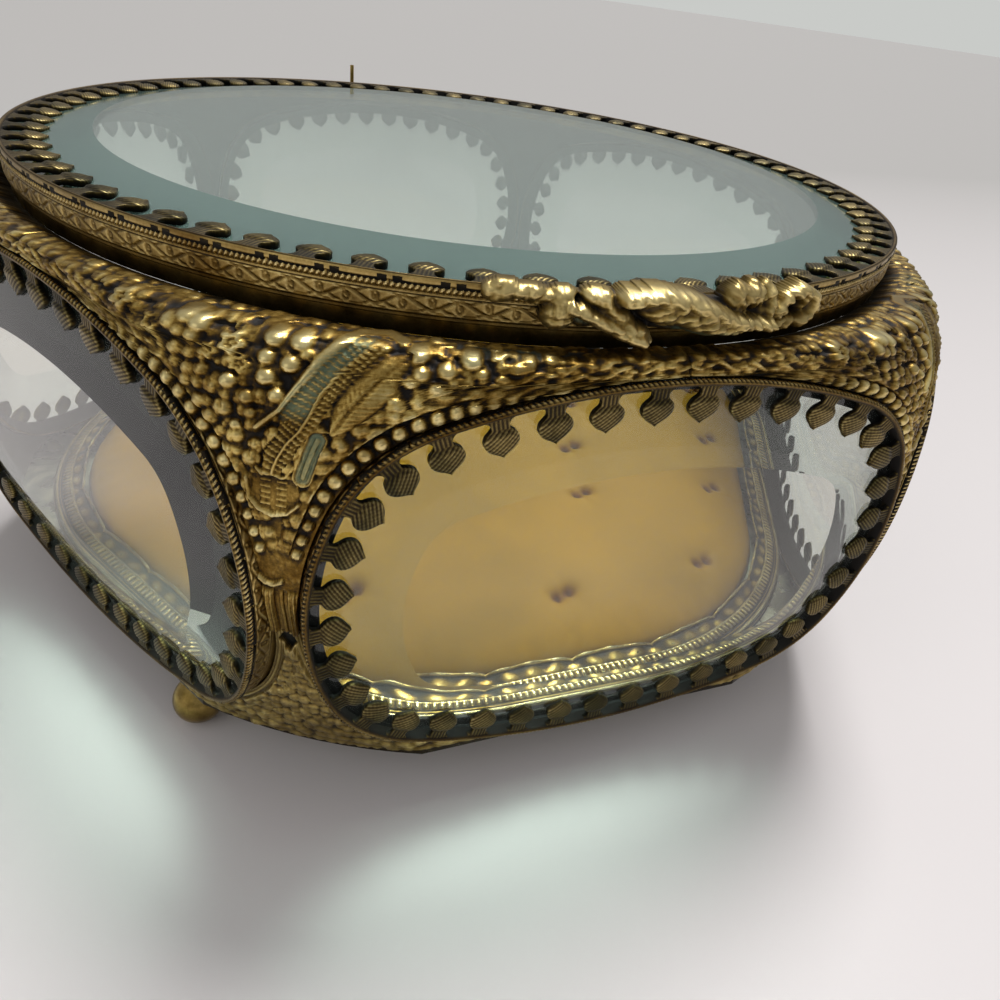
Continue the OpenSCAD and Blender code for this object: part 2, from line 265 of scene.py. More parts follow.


# What the metals share; their colour ramps run from the ridges at 0, pale with wear and painted highlight, to
# the hollows at 1, dark with grime and painted shade
oldMetal = {
    "cloudMm": 9, "speckMm": 0.5, "breakUp": 0.3, "grain": 0.3, "grainMm": 0.06,
    "greenSpecks": 1.6, "greenest": 0.5, "metallic": [(0.55, 1.0), (0.9, 0.5)],
}
# Cast brass, gilded and lacquered: bright rubbed high points with painted highlight, brown dirt and painted
# shade in every hollow
giltCasting = agedMetal("giltCastBrass", {
    **oldMetal, "breakUp": 0.35, "metallic": [(0.55, 1.0), (0.9, 0.4)],
    "colours": [(0.05, "#f6e6a8"), (0.34, "#cdb268"), (0.5, "#917539"), (0.66, "#4c3a19"), (0.88, "#171008")],
    "cloudDark": "#b0a38c", "cloudLight": "#ffffff", "verdigris": "#81967a",
    "roughness": [(0.1, 0.28), (0.5, 0.38), (0.85, 0.7)]})
# Lower castings and thumb piece, where hands and dust reach: the gilding is thin, flat and greyish
wornCasting = agedMetal("wornGiltBrass", {
    **oldMetal, "metallic": [(0.5, 0.9), (0.9, 0.3)],
    "colours": [(0.0, "#ddcb92"), (0.35, "#ab975c"), (0.55, "#806d3d"), (0.72, "#4c3d1f"), (0.95, "#0c0805")],
    "cloudDark": "#b3a995", "cloudLight": "#fbf6ea", "verdigris": "#77876a",
    "roughness": [(0.1, 0.36), (0.5, 0.46), (0.85, 0.7)]})
# Stamped gallery strip: rolled brass, thinner gilding gone brown
stampedStrip = agedMetal("stampedGalleryBrass", {
    **oldMetal, "cloudMm": 12, "speckMm": 0.4, "grain": 0.2, "metallic": [(0.55, 1.0), (0.9, 0.4)],
    "colours": [(0.05, "#ead9a2"), (0.35, "#bda76c"), (0.52, "#8c7644"), (0.72, "#4b3c1e"),
                (0.92, "#171009")],
    "cloudDark": "#a2937c", "cloudLight": "#f4f0e8", "verdigris": "#6f8068",
    "roughness": [(0.1, 0.26), (0.5, 0.38), (0.85, 0.7)]})
# The prongs' gilding has rubbed off down to a dark olive-brown bronze
prongMetal = agedMetal("rubbedBronzeProngs", {
    **oldMetal, "cloudMm": 7, "speckMm": 0.35, "grain": 0.2,
    "colours": [(0.0, "#d6cba0"), (0.3, "#9b8f66"), (0.5, "#675b3b"), (0.7, "#32291a"), (0.9, "#110d07")],
    "cloudDark": "#8d8f84", "cloudLight": "#fff6e2", "verdigris": "#5f7062",
    "roughness": [(0.1, 0.3), (0.5, 0.42), (0.85, 0.7)]})
# Plain brass sheet and turned brass, browned with age: a soft, uneven shine
brownedBrass = agedMetal("brownedSheetBrass", {
    **oldMetal, "cloudMm": 5, "speckMm": 0.6, "breakUp": 0.5,
    "colours": [(0.0, "#b5a066"), (0.3, "#85713d"), (0.5, "#5f5029"), (0.7, "#3a3017"), (0.9, "#1c150a")],
    "cloudDark": "#8f8468", "cloudLight": "#f5ecd8", "verdigris": "#6b7760",
    "roughness": [(0.1, 0.3), (0.5, 0.42), (0.85, 0.65)]})
# Pressed strip on the pan: paler, thinner gilding than the castings, silver showing at its ridges, which the
# ramp also pales as painted highlight
galleryMetal = agedMetal("paleGiltGallery", {
    **oldMetal, "cloudMm": 8, "grain": 0.15,
    "colours": [(0.0, "#e6d7a6"), (0.3, "#bca364"), (0.5, "#8b7139"), (0.7, "#4d3b1a"), (0.9, "#241a0c")],
    "cloudDark": "#b5aa98", "cloudLight": "#ffffff", "verdigris": "#5c6650",
    "roughness": [(0.1, 0.22), (0.5, 0.34), (0.85, 0.6)]})


def clearGlass(name, look):
    # polished glass: lamps shine through it, so that what is inside is lit; its film is dust and old polish
    material, tree, place = startMaterial(name)
    smear = noise(tree, place, look["smearMm"], {"Detail": 5.0, "Roughness": 0.65})
    glass = addNode(tree, "ShaderNodeBsdfPrincipled", {
        "Base Color": linear(look["tint"]), "Transmission Weight": 1 - look["film"], "IOR": 1.5,
        "Roughness": ramp(tree, smear, [(0.45, look["clean"]), (0.75, look["smeared"])]),
        "Specular IOR Level": look["gleam"]})
    light = addNode(tree, "ShaderNodeBsdfTransparent", {"Color": linear(look["shade"])})
    lamp = addNode(tree, "ShaderNodeLightPath").outputs["Is Shadow Ray"]
    setSurface(tree, addNode(tree, "ShaderNodeMixShader", {
        0: lamp, 1: glass.outputs[0], 2: light.outputs[0]}))
    return material


sidePlate = {"smearMm": 9, "clean": 0.0, "smeared": 0.03, "gleam": 0.25}
lidPlate = {"smearMm": 14, "gleam": 0.5}
# Old plate glass of the side panels: clear, slightly smeared with handling
sideGlassLook = clearGlass("clearBevelledGlass", {
    **sidePlate, "tint": "#f4f6f2", "shade": "#f4f8f6", "film": 0.0})
# Its ground bevel: a breath of grey-green, where more glass is looked through
sideBevelLook = clearGlass("greyBevelGlass", {
    **sidePlate, "tint": "#dfe8e2", "shade": "#eef4f1", "film": 0.03})
# The lid's plate has the blue-green of iron in the glass and a milky film
lidGlassLook = clearGlass("greenishPlateGlass", {
    **lidPlate, "tint": "#dfeae4", "shade": "#eaf4f0", "clean": 0.0, "smeared": 0.04, "film": 0.09})
# The lid's bevel reads as one even band of grey teal
lidBevelLook = clearGlass("tealBevelGlass", {
    **lidPlate, "tint": "#6c857e", "shade": "#d5e6e0", "clean": 0.1, "smeared": 0.2, "film": 0.5})


def satinCloth(name, look):
    # woven satin: long floats catch the light along one way of the cloth
    material, tree, place = startMaterial(name)
    fade = noise(tree, place, look["fadeMm"], {"Detail": 3.0, "Roughness": 0.55})
    # the cavity value darkens the satin in the tufts' dents: painted shade
    dip = ramp(tree, meshValue(tree, "cavity"), [
        (0.55, "#ffffff"), (0.8, look["tuftShade"]), (1.0, look["tuftDark"])])
    cloth = mixed(tree, 1.0, ramp(tree, fade, [(0.3, look["deep"]), (0.7, look["pale"])]), dip, "MULTIPLY")
    across = 1 / (look["threadMm"] * mm)
    floats = addNode(tree, "ShaderNodeMapping", {
        "Vector": place, "Scale": (1 / (look["floatMm"] * mm), across, across)})
    weave = addNode(tree, "ShaderNodeTexNoise", {
        "Vector": floats.outputs["Vector"], "Scale": 1.0, "Detail": 2.0})
    threads = addNode(tree, "ShaderNodeBump", {
        "Height": weave.outputs["Fac"], "Strength": 0.12, "Distance": 0.1 * mm})
    setSurface(tree, addNode(tree, "ShaderNodeBsdfPrincipled", {
        "Base Color": cloth, "Roughness": look["roughness"], "Specular IOR Level": look["gleam"],
        "Anisotropic": 0.5, "Normal": threads.outputs["Normal"]}))
    return material


# Ochre-gold rayon satin, rubbed and a little faded; the threads are drawn coarser than they are, to show
goldSatin = satinCloth("ochreSatin", {
    "fadeMm": 38, "deep": "#7a5804", "pale": "#976c08", "tuftShade": "#a98a7c", "tuftDark": "#54424a",
    "floatMm": 6, "threadMm": 0.35, "roughness": 0.55, "gleam": 0.08})


def silveredPan(name, look):
    # bright tinned sheet gone grey, with streaks where it was wiped
    material, tree, place = startMaterial(name)
    streak = noise(tree, place, look["streakMm"], {"Detail": 6.0, "Distortion": 1.4})
    # faces that stand upright, as the rim's do, are coloured dark brown; level faces take the grey streaks
    facing = addNode(tree, "ShaderNodeSeparateXYZ", {
        "Vector": addNode(tree, "ShaderNodeNewGeometry").outputs["True Normal"]}).outputs["Z"]
    level = reckon(tree, "ABSOLUTE", facing)
    setSurface(tree, addNode(tree, "ShaderNodeBsdfPrincipled", {
        "Base Color": mixed(tree, level, linear(look["rim"]), ramp(tree, streak, look["colours"])),
        "Metallic": 0.9, "Roughness": ramp(tree, streak, [(0.3, look["bright"]), (0.7, look["dull"])])}))
    return material


# Rolled sheet of the base, once silvered: grey with yellow-white glints
panMetal = silveredPan("silveredPanSheet", {
    "streakMm": 11, "colours": [(0.3, "#5f5a50"), (0.5, "#b1aa97"), (0.7, "#e3dbc0")],
    "bright": 0.16, "dull": 0.42, "rim": "#2a2010"})


def cardBoard(name, look):
    material, tree, place = startMaterial(name)
    pulp = noise(tree, place, look["pulpMm"], {"Detail": 5.0})
    setSurface(tree, addNode(tree, "ShaderNodeBsdfPrincipled", {
        "Base Color": ramp(tree, pulp, [(0.3, look["dark"]), (0.7, look["light"])]), "Roughness": 0.9}))
    return material


# Grey-brown pulp board: matt, faintly mottled
paperCard = cardBoard("pulpCard", {"pulpMm": 1.5, "dark": "#6b5f49", "light": "#8c7e62"})
print("materials made")

# Side panel outline: eight tangent arcs, the same as the construction's

bezelLow, bezelHigh = boxMm("side_bezel_1")
panel = {
    "halfWidth": bezelHigh[0],
    "top": bezelHigh[2] - 2.8,      # the castings' arms close over it, under the lid
    "bottom": bezelLow[2] - 0.8,
    "face": -bezelLow[1],
    "depth": bezelHigh[1] - bezelLow[1],
    "metal": 0.9,
    "lip": 3.7,
    "bevel": 11.5,
    "cornerRadius": 20,
    "topTurn": math.radians(17),
    "sideTurn": math.radians(24),
    "prongs": 37,
}
panel["halfHeight"] = (panel["top"] - panel["bottom"]) / 2
panel["middle"] = (panel["top"] + panel["bottom"]) / 2
# The castings' curve, from the waist where upper and lower meet to the lid's seat
body = {"top": bezelHigh[2], "waist": (bezelLow[2] + bezelHigh[2]) / 2}
body["half"] = body["top"] - body["waist"]


def outlineArcs():
    # radius, centre and length of the top, corner and side arcs of one quarter
    top, side, corner = panel["topTurn"], panel["sideTurn"], panel["cornerRadius"]
    restW = panel["halfWidth"] - corner * (math.cos(side) - math.sin(top))
    restH = panel["halfHeight"] - corner * (math.cos(top) - math.sin(side))
    a, b, c, d = math.sin(top), 1 - math.cos(side), 1 - math.cos(top), math.sin(side)
    det = a * d - b * c
    topR, sideR = (restW * d - restH * b) / det, (restH * a - restW * c) / det
    cornerAt = ((topR - corner) * math.sin(top), panel["halfHeight"] - topR + (topR - corner) * math.cos(top))
    return [(topR, (0, panel["halfHeight"] - topR), topR * top),
            (corner, cornerAt, corner * (math.pi / 2 - top - side)),
            (sideR, (panel["halfWidth"] - sideR, 0), sideR * side)]


arcs = outlineArcs()
quarterLength = sum(arc[2] for arc in arcs)
outlineLength = 4 * quarterLength


def outlineAt(s):
    # points and outward normals of the outline, s mm clockwise from the middle of the top
    quarter = np.floor(s / quarterLength).astype(int)
    rest = s - quarter * quarterLength
    quarter %= 4
    rest = np.where(quarter % 2 == 1, quarterLength - rest, rest)
    (topR, topAt, topL), (cornerR, cornerAt, cornerL), (sideR, sideAt, _) = arcs
    onTop, onCorner = rest < topL, (rest >= topL) & (rest < topL + cornerL)
    turn = np.where(onTop, rest / topR, np.where(onCorner, panel["topTurn"] + (rest - topL) / cornerR,
                    math.pi / 2 - panel["sideTurn"] + (rest - topL - cornerL) / sideR))
    normal = np.stack([np.sin(turn), np.cos(turn)], -1)
    centre = np.where(onTop[:, None], topAt, np.where(onCorner[:, None], cornerAt, sideAt))
    radius = np.where(onTop, topR, np.where(onCorner, cornerR, sideR))
    sign = np.stack([np.where(quarter < 2, 1, -1), np.where((quarter == 0) | (quarter == 3), 1, -1)], -1)
    return (centre + radius[:, None] * normal) * sign, normal * sign


def fromOutline(x, up):
    # distance outside a panel's outline, and the place along its quarter
    x, up = np.abs(x), np.abs(up)
    (topR, topAt, topL), (cornerR, cornerAt, _), (sideR, sideAt, _) = arcs
    topTurn = np.arctan2(x, up - topAt[1])
    sideTurn = np.arctan2(up, x - sideAt[0])
    cornerTurn = np.arctan2(x - cornerAt[0], up - cornerAt[1])
    onTop, onSide = topTurn < panel["topTurn"], sideTurn < panel["sideTurn"]
    away = np.where(onTop, np.hypot(x, up - topAt[1]) - topR,
                    np.where(onSide, np.hypot(x - sideAt[0], up) - sideR,
                             np.hypot(x - cornerAt[0], up - cornerAt[1]) - cornerR))
    along = np.where(onTop, topR * topTurn, np.where(onSide, quarterLength - sideR * sideTurn,
                     topL + cornerR * (cornerTurn - panel["topTurn"])))
    return away, along


def onSide(k, across, out, up):
    # points of side panel k: across to the right seen from outside, out from the axis, up from its middle
    points = np.stack(np.broadcast_arrays(across, -out, up + panel["middle"]), -1)
    return turned(points, (k - 1) * sideStep)


# Stamped gallery strip: a rope, a fine line and an engraved scroll band, with prongs bent over the glass

strip = {
    "ropePitch": 0.72,          # mm from one twist of the rope to the next
    "ropeMiddle": 1.35, "ropeHalf": 0.5, "ropeHeight": 0.5,
    "bandFrom": 2.2, "bandTo": 4.1, "scrollPitch": 6.62,
    "plainTo": 0.78,            # the plain part next to the prongs
    "sideShift": 0.85,          # on the side panels the strip is bent over nearer its rope
    "step": 0.2,
}


def spiral(centre, radius, turns, start, way):
    # points of a volute that winds in
    t = np.linspace(0, 1, 16)
    angle = start + way * t * turns * 2 * math.pi
    reach = radius * (1 - 0.85 * t)
    return [(centre[0] + r * math.cos(a), centre[1] + r * math.sin(a)) for r, a in zip(reach, angle)]


def scrollBand(along, across):
    # engraved scrolls: a wave with a volute and two small leaves in each half
    pitch = strip["scrollPitch"]
    u = np.mod(along, pitch)
    stem = [(i * pitch / 16, 0.5 + 0.34 * math.sin(i * math.pi / 8)) for i in range(-1, 18)]
    lines = [stem,
             spiral((pitch * 0.25, 0.42), 0.3 * pitch * 0.25, 1.3, math.pi / 2, -1),
             spiral((pitch * 0.75, 0.58), 0.3 * pitch * 0.25, 1.3, -math.pi / 2, -1),
             [(pitch * 0.45, 0.75), (pitch * 0.52, 0.95), (pitch * 0.6, 1.0)],
             [(pitch * 0.95, 0.25), (pitch * 1.02, 0.05), (pitch * 1.1, 0.0)],
             [(pitch * -0.05, 0.25), (pitch * 0.02, 0.05), (pitch * 0.1, 0.0)],
             [(pitch * 0.08, 0.95), (pitch * 0.18, 0.78), (pitch * 0.3, 0.95)],
             [(pitch * 0.58, 0.05), (pitch * 0.68, 0.22), (pitch * 0.8, 0.05)]]
    width = strip["bandTo"] - strip["bandFrom"]
    lines = [[(x, y * width) for x, y in line] for line in lines]
    away = np.minimum.reduce([alongLine(u, across * width, line)[0] for line in lines])
    return 1 - smoothStep(0.08, 0.24, away)


def stripHeight(along, depth):
    # height of the strip's outer face in mm, depth mm behind its front edge
    fromRope, plainTo = depth - strip["ropeMiddle"], strip["plainTo"]
    rope = strip["ropeHeight"] * halfRound(fromRope, strip["ropeHalf"])
    twist = 0.62 + 0.38 * wave(along / strip["ropePitch"] + fromRope * 0.7)
    plain = 0.32 * smoothStep(0, 0.15, depth) * (1 - smoothStep(plainTo, plainTo + 0.12, depth))
    line = 0.26 * halfRound(depth - 2.02, 0.13)
    across = (depth - strip["bandFrom"]) / (strip["bandTo"] - strip["bandFrom"])
    inBand = (across > 0) & (across < 1)
    band = np.where(inBand, 0.3 - 0.13 * scrollBand(along, np.clip(across, 0, 1)), 0)
    lower = 0.3 * halfRound(depth - 4.28, 0.17)
    fillet = 0.14 * smoothStep(4.4, 4.6, depth) * (1 - 0.6 * smoothStep(4.6, 6.4, depth))
    return np.maximum.reduce(np.broadcast_arrays(rope * twist, plain, line, band, lower, fillet))


def stripDepths(depth):
    # where the strip's section has its points, closest together on the rope and the scrolls
    return np.concatenate([[0.04, 0.12, 0.22], np.arange(0.3, 4.5, 0.125), np.linspace(4.6, depth - 0.03, 4)])


# One prong lying flat: half widths along its length, from the strip to the tip
prong = {
    "along": [0.1, 0.45, 0.65, 0.85, 1.1, 1.4, 1.75, 2.1, 2.35, 2.6, 2.9, 3.3, 3.8, 4.3, 4.7, 5.0, 5.25, 5.45,
              5.6, 5.75, 5.9, 6.05, 6.15],
    "half": [3.3, 3.3, 2.6, 1.9, 1.45, 1.2, 1.1, 1.12, 1.3, 1.6, 1.9, 2.1, 2.2, 2.12, 1.92, 1.68, 1.4, 1.12,
             0.86, 0.6, 0.4, 0.2, 0.05],
    "rows": 40, "columns": 25, "headFrom": 2.2, "tip": 6.15, "thick": 0.75,
    "ribPitch": 0.6, "reedPitch": 0.52, "lean": 0.022,
}


def prongRing(stretch, drop):
    # closed rings of points (across, in, up), up from the face the prong lies in
    y = np.linspace(prong["along"][0], prong["along"][-1], prong["rows"])
    half = np.interp(y, prong["along"], prong["half"])
    columns = prong["columns"]
    u = np.sin(np.linspace(-1, 1, columns) * math.pi / 2)
    across = half[:, None] * u
    inward = np.broadcast_to(y[:, None], across.shape)
    head = smoothStep(prong["headFrom"], prong["headFrom"] + 0.9, inward)
    head = head * (1 - 0.55 * smoothStep(4.6, prong["tip"], inward))
    slant = wave((0.8 * across + inward) / prong["ribPitch"])
    cross = wave((across - 1.1 * inward) / (1.3 * prong["ribPitch"]))
    reed = wave(across / prong["reedPitch"])
    onHead = smoothStep(prong["headFrom"] - 0.2, prong["headFrom"] + 0.3, inward)
    ribs = onHead * (0.75 * slant + 0.25 * cross) + (1 - onHead) * 0.7 * reed
    flat = halfRound(u, 1.02)
    dome = (0.1 + 0.38 * head) * flat + 0.06 * ribs * flat
    top = np.stack([across, inward, dome], -1)
    below = [columns - 2, columns // 2, 1]
    low = np.stack([across[:, below], inward[:, below], np.full((len(y), 3), -prong["thick"])], -1)
    ring = np.concatenate([top, low], 1)
    ring[..., 2] -= 0.35 + drop * smoothStep(1.5, prong["tip"], ring[..., 1])
    ring[..., 1] += stretch * smoothStep(0, 2, ring[..., 1])
    cavity = 0.6 - 0.1 * head * flat - 0.26 * ribs - 0.15 * smoothStep(0.8, 1.0, np.abs(u)) * onHead
    # the prong's underside takes the dark end of the colour ramp: painted shade
    return ring, np.concatenate([cavity, np.full((len(y), 3), 0.95)], 1)


def flipped(faces):
    return [array[:, ::-1] for array in faces]


def prongFaces(rows, cols):
    loop = np.arange(cols)[None, :]
    return flipped([gridFaces(rows, cols, closeCols=True), loop[:, ::-1], (rows - 1) * cols + loop])


def wrappedStrip(point, normal, s, depth, lip, shift=0.0):
    # section of the strip along an outline: places in the outline's plane, depths and cavity; with a lip it
    # has a ring behind the glass, that many mm from the front
    depths = stripDepths(depth)
    height = stripHeight(s[:, None], depths[None, :] + shift)
    metal = panel["metal"]
    ring = [(-metal, lip + 0.9), (-metal - 1.8, lip + 0.9), (-metal - 1.8, lip), (-metal, lip)] if lip else []
    inner = [(-metal, depth - 0.05), *ring, (-metal, 0.35), (-metal + 0.25, 0.05), (-0.35, 0.0)]
    d = np.concatenate([height - 0.4, np.broadcast_to([p[0] for p in inner], (len(s), len(inner)))], 1)
    w = np.broadcast_to(np.concatenate([depths, [p[1] for p in inner]]), d.shape)
    flat = point[:, None, :] + d[..., None] * normal[:, None, :]
    # painted shade: the strip's inner wall takes the dark end of the colour ramp, for the shadow inside the
    # box
    dark = np.array([0.95] * (len(inner) - 2) + [0.7, 0.5])
    cavity = np.concatenate([cavityOf(height, 2, 0.2) - 0.06, np.broadcast_to(dark, (len(s), len(inner)))], 1)
    return flat, w, cavity


def sideStrips():
    stations = int(outlineLength / strip["step"])
    s = np.arange(stations) * outlineLength / stations
    flat, w, cavity = wrappedStrip(*outlineAt(s), s, panel["depth"], panel["lip"], strip["sideShift"])
    wall = flipped([gridFaces(*w.shape, True, True)])
    ring, ringCavity = prongRing(0, 0.3)
    at, out = outlineAt((np.arange(panel["prongs"]) + 0.5) * outlineLength / panel["prongs"])
    rng = np.random.default_rng(21)
    for k in range(1, sideCount + 1):
        points = onSide(k, flat[..., 0], panel["face"] - w, flat[..., 1])
        makePiece(f"gallery_strip_{k}", [(points, wall, cavity, 0.0)], "casket", stampedStrip,
                  [f"side_bezel_{k}"])
        parts = []
        for (x, up), (nx, nup) in zip(at, out):
            # bent over by hand, so none lies quite straight
            lean, tilt = rng.normal(0, prong["lean"], 2)
            side, inward = ring[..., 0] + lean * ring[..., 1], ring[..., 1]
            across = x + side * nup - inward * nx
            high = up - side * nx - inward * nup
            raised = ring[..., 2] + tilt * 0.5 * side
            points = onSide(k, across, panel["face"] + raised, high)
            parts.append((points, prongFaces(*ring.shape[:2]), ringCavity, 0.0))
        makePiece(f"prongs_{k}", parts, "casket", prongMetal)


# Lid: rim with the same strip and its own prongs, bevelled plate

rimLow, rimHigh = boxMm("lid_rim")
plateLow, plateHigh = boxMm("lid_glass")
lid = {
    "radius": rimHigh[1], "top": rimHigh[2], "depth": rimHigh[2] - rimLow[2],
    "prongs": 71, "firstProng": math.radians(178.2), "prongStretch": 1.2, "prongDrop": 0.45,
    "plateRadius": plateHigh[1], "plateLow": plateLow[2], "plateTop": plateHigh[2],
    "bevel": 12.7, "edge": 1.9,
}


def circleOutline(radius, stations):
    # points and normals round a circle, anticlockwise seen from above, with the length along it
    angle = np.arange(stations) * 2 * math.pi / stations
    normal = np.stack([np.sin(angle), -np.cos(angle)], -1)
    return radius * normal, normal, angle * radius


def lidRim():
    stations = int(2 * math.pi * lid["radius"] / strip["step"])
    point, normal, s = circleOutline(lid["radius"], stations)
    flat, w, cavity = wrappedStrip(point, normal, s, lid["depth"], None)
    points = np.concatenate([flat, (lid["top"] - w)[..., None]], -1)
    wall = [gridFaces(*w.shape, True, True)]
    makePiece("lid_rim_strip", [(points, wall, cavity, 0.0)], "lid", stampedStrip,
              ["lid_rim"])
    ring, ringCavity = prongRing(lid["prongStretch"], lid["prongDrop"])
    parts = []
    for i in range(lid["prongs"]):
        angle = lid["firstProng"] + i * 2 * math.pi / lid["prongs"]
        points = np.stack([ring[..., 0], lid["radius"] - ring[..., 1], lid["top"] + ring[..., 2]], -1)
        parts.append((turned(points, angle), prongFaces(*ring.shape[:2]), ringCavity, 0.0))
    makePiece("lid_prongs", parts, "lid", prongMetal)


def bevelledPlate(edgePoint, edgeNormal, thick, edge, bevel):
    # rings of a plate with a bevelled front: (in the plate's plane, height above its back)
    rings, count = [(0.0, 0.0), (0.0, edge), (-bevel, thick)], len(edgePoint)
    flat = [np.concatenate([edgePoint + d * edgeNormal, np.full((count, 1), h)], 1) for d, h in rings]
    loop = np.arange(count)[None, :]
    faces = [flipped([gridFaces(3, count, closeCols=True)])[0], loop, loop[:, ::-1] + 2 * count]
    return np.concatenate(flat).reshape(3, count, 3), faces


def glasses():
    stations = 288
    s = np.arange(stations) * outlineLength / stations
    onBevel = np.arange(stations, 2 * stations)
    point, normal = outlineAt(s)
    low, high = boxMm("side_glass_1")
    thick, inset = high[1] - low[1], panel["halfWidth"] - high[0]
    flat, faces = bevelledPlate(point - inset * normal, normal, thick, lid["edge"], panel["bevel"])
    for k in range(1, sideCount + 1):
        points = onSide(k, flat[..., 0], -high[1] + flat[..., 2], flat[..., 1])
        makePiece(f"bevelled_glass_{k}", [(points, faces, 0.5, 0.0)], "casket", sideGlassLook,
                  [f"side_glass_{k}"], 5, (sideBevelLook, onBevel))
    point, normal, s = circleOutline(lid["plateRadius"], stations)
    flat, faces = bevelledPlate(point, normal, lid["plateTop"] - lid["plateLow"], lid["edge"], lid["bevel"])
    flat[..., 2] += lid["plateLow"]
    makePiece("bevelled_lid_glass", [(flat, flipped(faces), 0.5, 0.0)], "lid", lidGlassLook,
              ["lid_glass"], 5, (lidBevelLook, onBevel))


# Corner castings between the side panels

casting = {
    "waistRadius": 97.3, "topRadius": 84, "footRadius": 91.8, "flat": 86.6, "fullness": 2.3,
    "thick": 1.2, "rows": 220, "cols": 208, "shoulder": 0.5, "seenLower": 1.2,
    "seatRows": 16, "seatRadius": 81.25, "backStep": 4,
    "gap": 0.08,                # between a casting and the strip beside it
    "soft": 0.6,                # how gently the barrel runs into the flat of the panels
    "beadGap": 2.15, "beadFrom": 1.0, "beadRadius": 0.95, "beadLow": 7.0, "beadHigh": 29.0,
    "drum": 90.0,               # radius at which the ornament's places are measured
}
# Berries: across from the corner, up the curve from the waist, radius before it is made fuller
berries = [(-2.3, 33.9, 1.3), (0.6, 33.9, 1.25), (-0.8, 32.3, 0.7), (1.5, 32.6, 0.9), (-2.6, 31.3, 1.05),
           (0.1, 31, 1.15), (-2.3, 28.9, 1.05), (-0.8, 26.9, 0.95), (-4, 26, 0.85), (-6.3, 27.5, 0.95),
           (-3.4, 24.2, 0.7), (-4.9, 22.4, 0.6),
           (-15, 33, 1.3), (-13.3, 34.2, 1.4), (-11.5, 33.6, 1.3), (-13.6, 32.2, 1.1), (-11.9, 32, 1.0),
           (8.2, 28.4, 0.7), (7.3, 26, 0.7), (13.4, 34.4, 1.2), (14, 32.1, 1.0), (12.9, 30.9, 0.8),
           (15.7, 30.4, 0.8), (17.4, 31.3, 0.7), (16.6, 32.7, 1.1), (19.2, 34.4, 1.2)]
berries = [(x, y, 1.22 * r) for x, y, r in berries]
# Small open flowers: a ring of petals round an eye
flowers = [(-6.9, 32.1, 1.5), (-5.4, 29.8, 1.2), (-17.3, 32.1, 1.4), (-16.2, 30.8, 0.8), (-22.8, 33.9, 1.5),
           (16.6, 34.9, 1.2), (-9.3, 30.6, 1.1), (22.4, 35.2, 1.1), (-26.5, 35.4, 1.0)]
# Shells whose ridges run round the grapes: middle, from and to which distance, how far to the right
shells = [(0.5, 33.2, 2.9, 5.9, 0.4), (-5.2, 34.9, 0.6, 2.9, 9.0), (-19.5, 34.6, 0.8, 3.2, 9.0)]
# Lines of the ornament, across and up as the berries
ribbonLeft = [(-1.7, 17.4), (-1.7, 18.2), (-1.4, 20.5), (-0.2, 22.3), (-0.2, 25.5), (0.9, 27.8), (2.1, 30.1),
              (3.2, 32.4), (5, 34.2), (6.2, 36.4)]
ribbonRib = [(-0.5, 17.4), (-0.4, 18.2), (0, 19.4), (0.9, 21.4), (2.1, 23.1), (3, 25.2), (3.8, 27.8),
             (5, 30.1), (6.7, 32.7), (8.7, 35), (9.2, 36.4)]
ribbonRight = [(0.4, 17.4), (0.6, 18.2), (1.5, 19.4), (2.1, 21.1), (4, 24), (4.7, 26), (5.9, 28.4),
               (7.3, 30.4), (10.2, 34.4), (10.6, 36.4)]
goldEdge = [(-2.4, 22.8), (-0.2, 25.3), (0.9, 27.6), (2.1, 30.0), (3.2, 32.3), (4.6, 34.3), (6.3, 36.3),
            (9.5, 36.9), (11.5, 35.6)]
leafLine = [(12.6, 34), (10.6, 31.8), (8.8, 29.2), (7, 26.4), (5.6, 23.6)]
tongueLine = [(4.0, 22.4), (3.3, 20), (2.7, 17.6)]
# Raised beads of metal: line, half width, height
tendril = ([(3.8, 23.7), (5.2, 23.6), (6.7, 24.3), (7.9, 25.6)], 0.25, 1.5)
ribbonEnd = ([(-2.3, 17.9), (-1.4, 17.0), (-0.4, 16.8), (0.9, 17.3), (1.7, 18.6)], 0.32, 1.35)
cupLip = ([(-3.4, 16.4), (-3.0, 14.2), (-1.9, 12.9), (-0.4, 12.4), (1.2, 12.9), (2.4, 14.2)], 0.36, 1.35)
smallLip = ([(-2.5, 4.2), (-1.6, 3.4), (-0.6, 3.3), (0.3, 3.9)], 0.4, 0.95)


def leftOf(line, up):
    return np.interp(up, [p[1] for p in line], [p[0] for p in line])


def withBead(height, a, q, line, half, high):
    return np.maximum(height, high * halfRound(alongLine(a, q, line)[0], half))


def ribbonHeight(a, q):
    # ribbon of two cross-ribbed rows with a rib between, and how green its left row is
    left, rib, right = leftOf(ribbonLeft, q), leftOf(ribbonRib, q), leftOf(ribbonRight, q)
    t = np.where(a < rib, (a - rib) / (rib - left), (a - rib) / (right - rib))
    along = alongLine(a, q, ribbonRib)[1]
    top = 36.4 - 0.05 * (a - 8)**2
    inside = smoothStep(1.04, 0.96, np.abs(t)) * between(q, 17.1, 17.4, top - 0.4, top)
    row = halfRound(2 * np.abs(t) - 1, 1.1)
    # thin rungs, like a ladder's, over a sunk ground
    rungs = np.clip(wave(along / strip["ropePitch"]), 0, 1)**2
    height = np.maximum(0.72 + 0.16 * row + 0.42 * rungs * row, 1.3 * halfRound(a - rib, 0.3))
    green = inside * smoothStep(0.1, -0.15, t) * between(q, 23, 26, 34, 36.5)
    return height * inside, green * (1 - 0.7 * rungs)


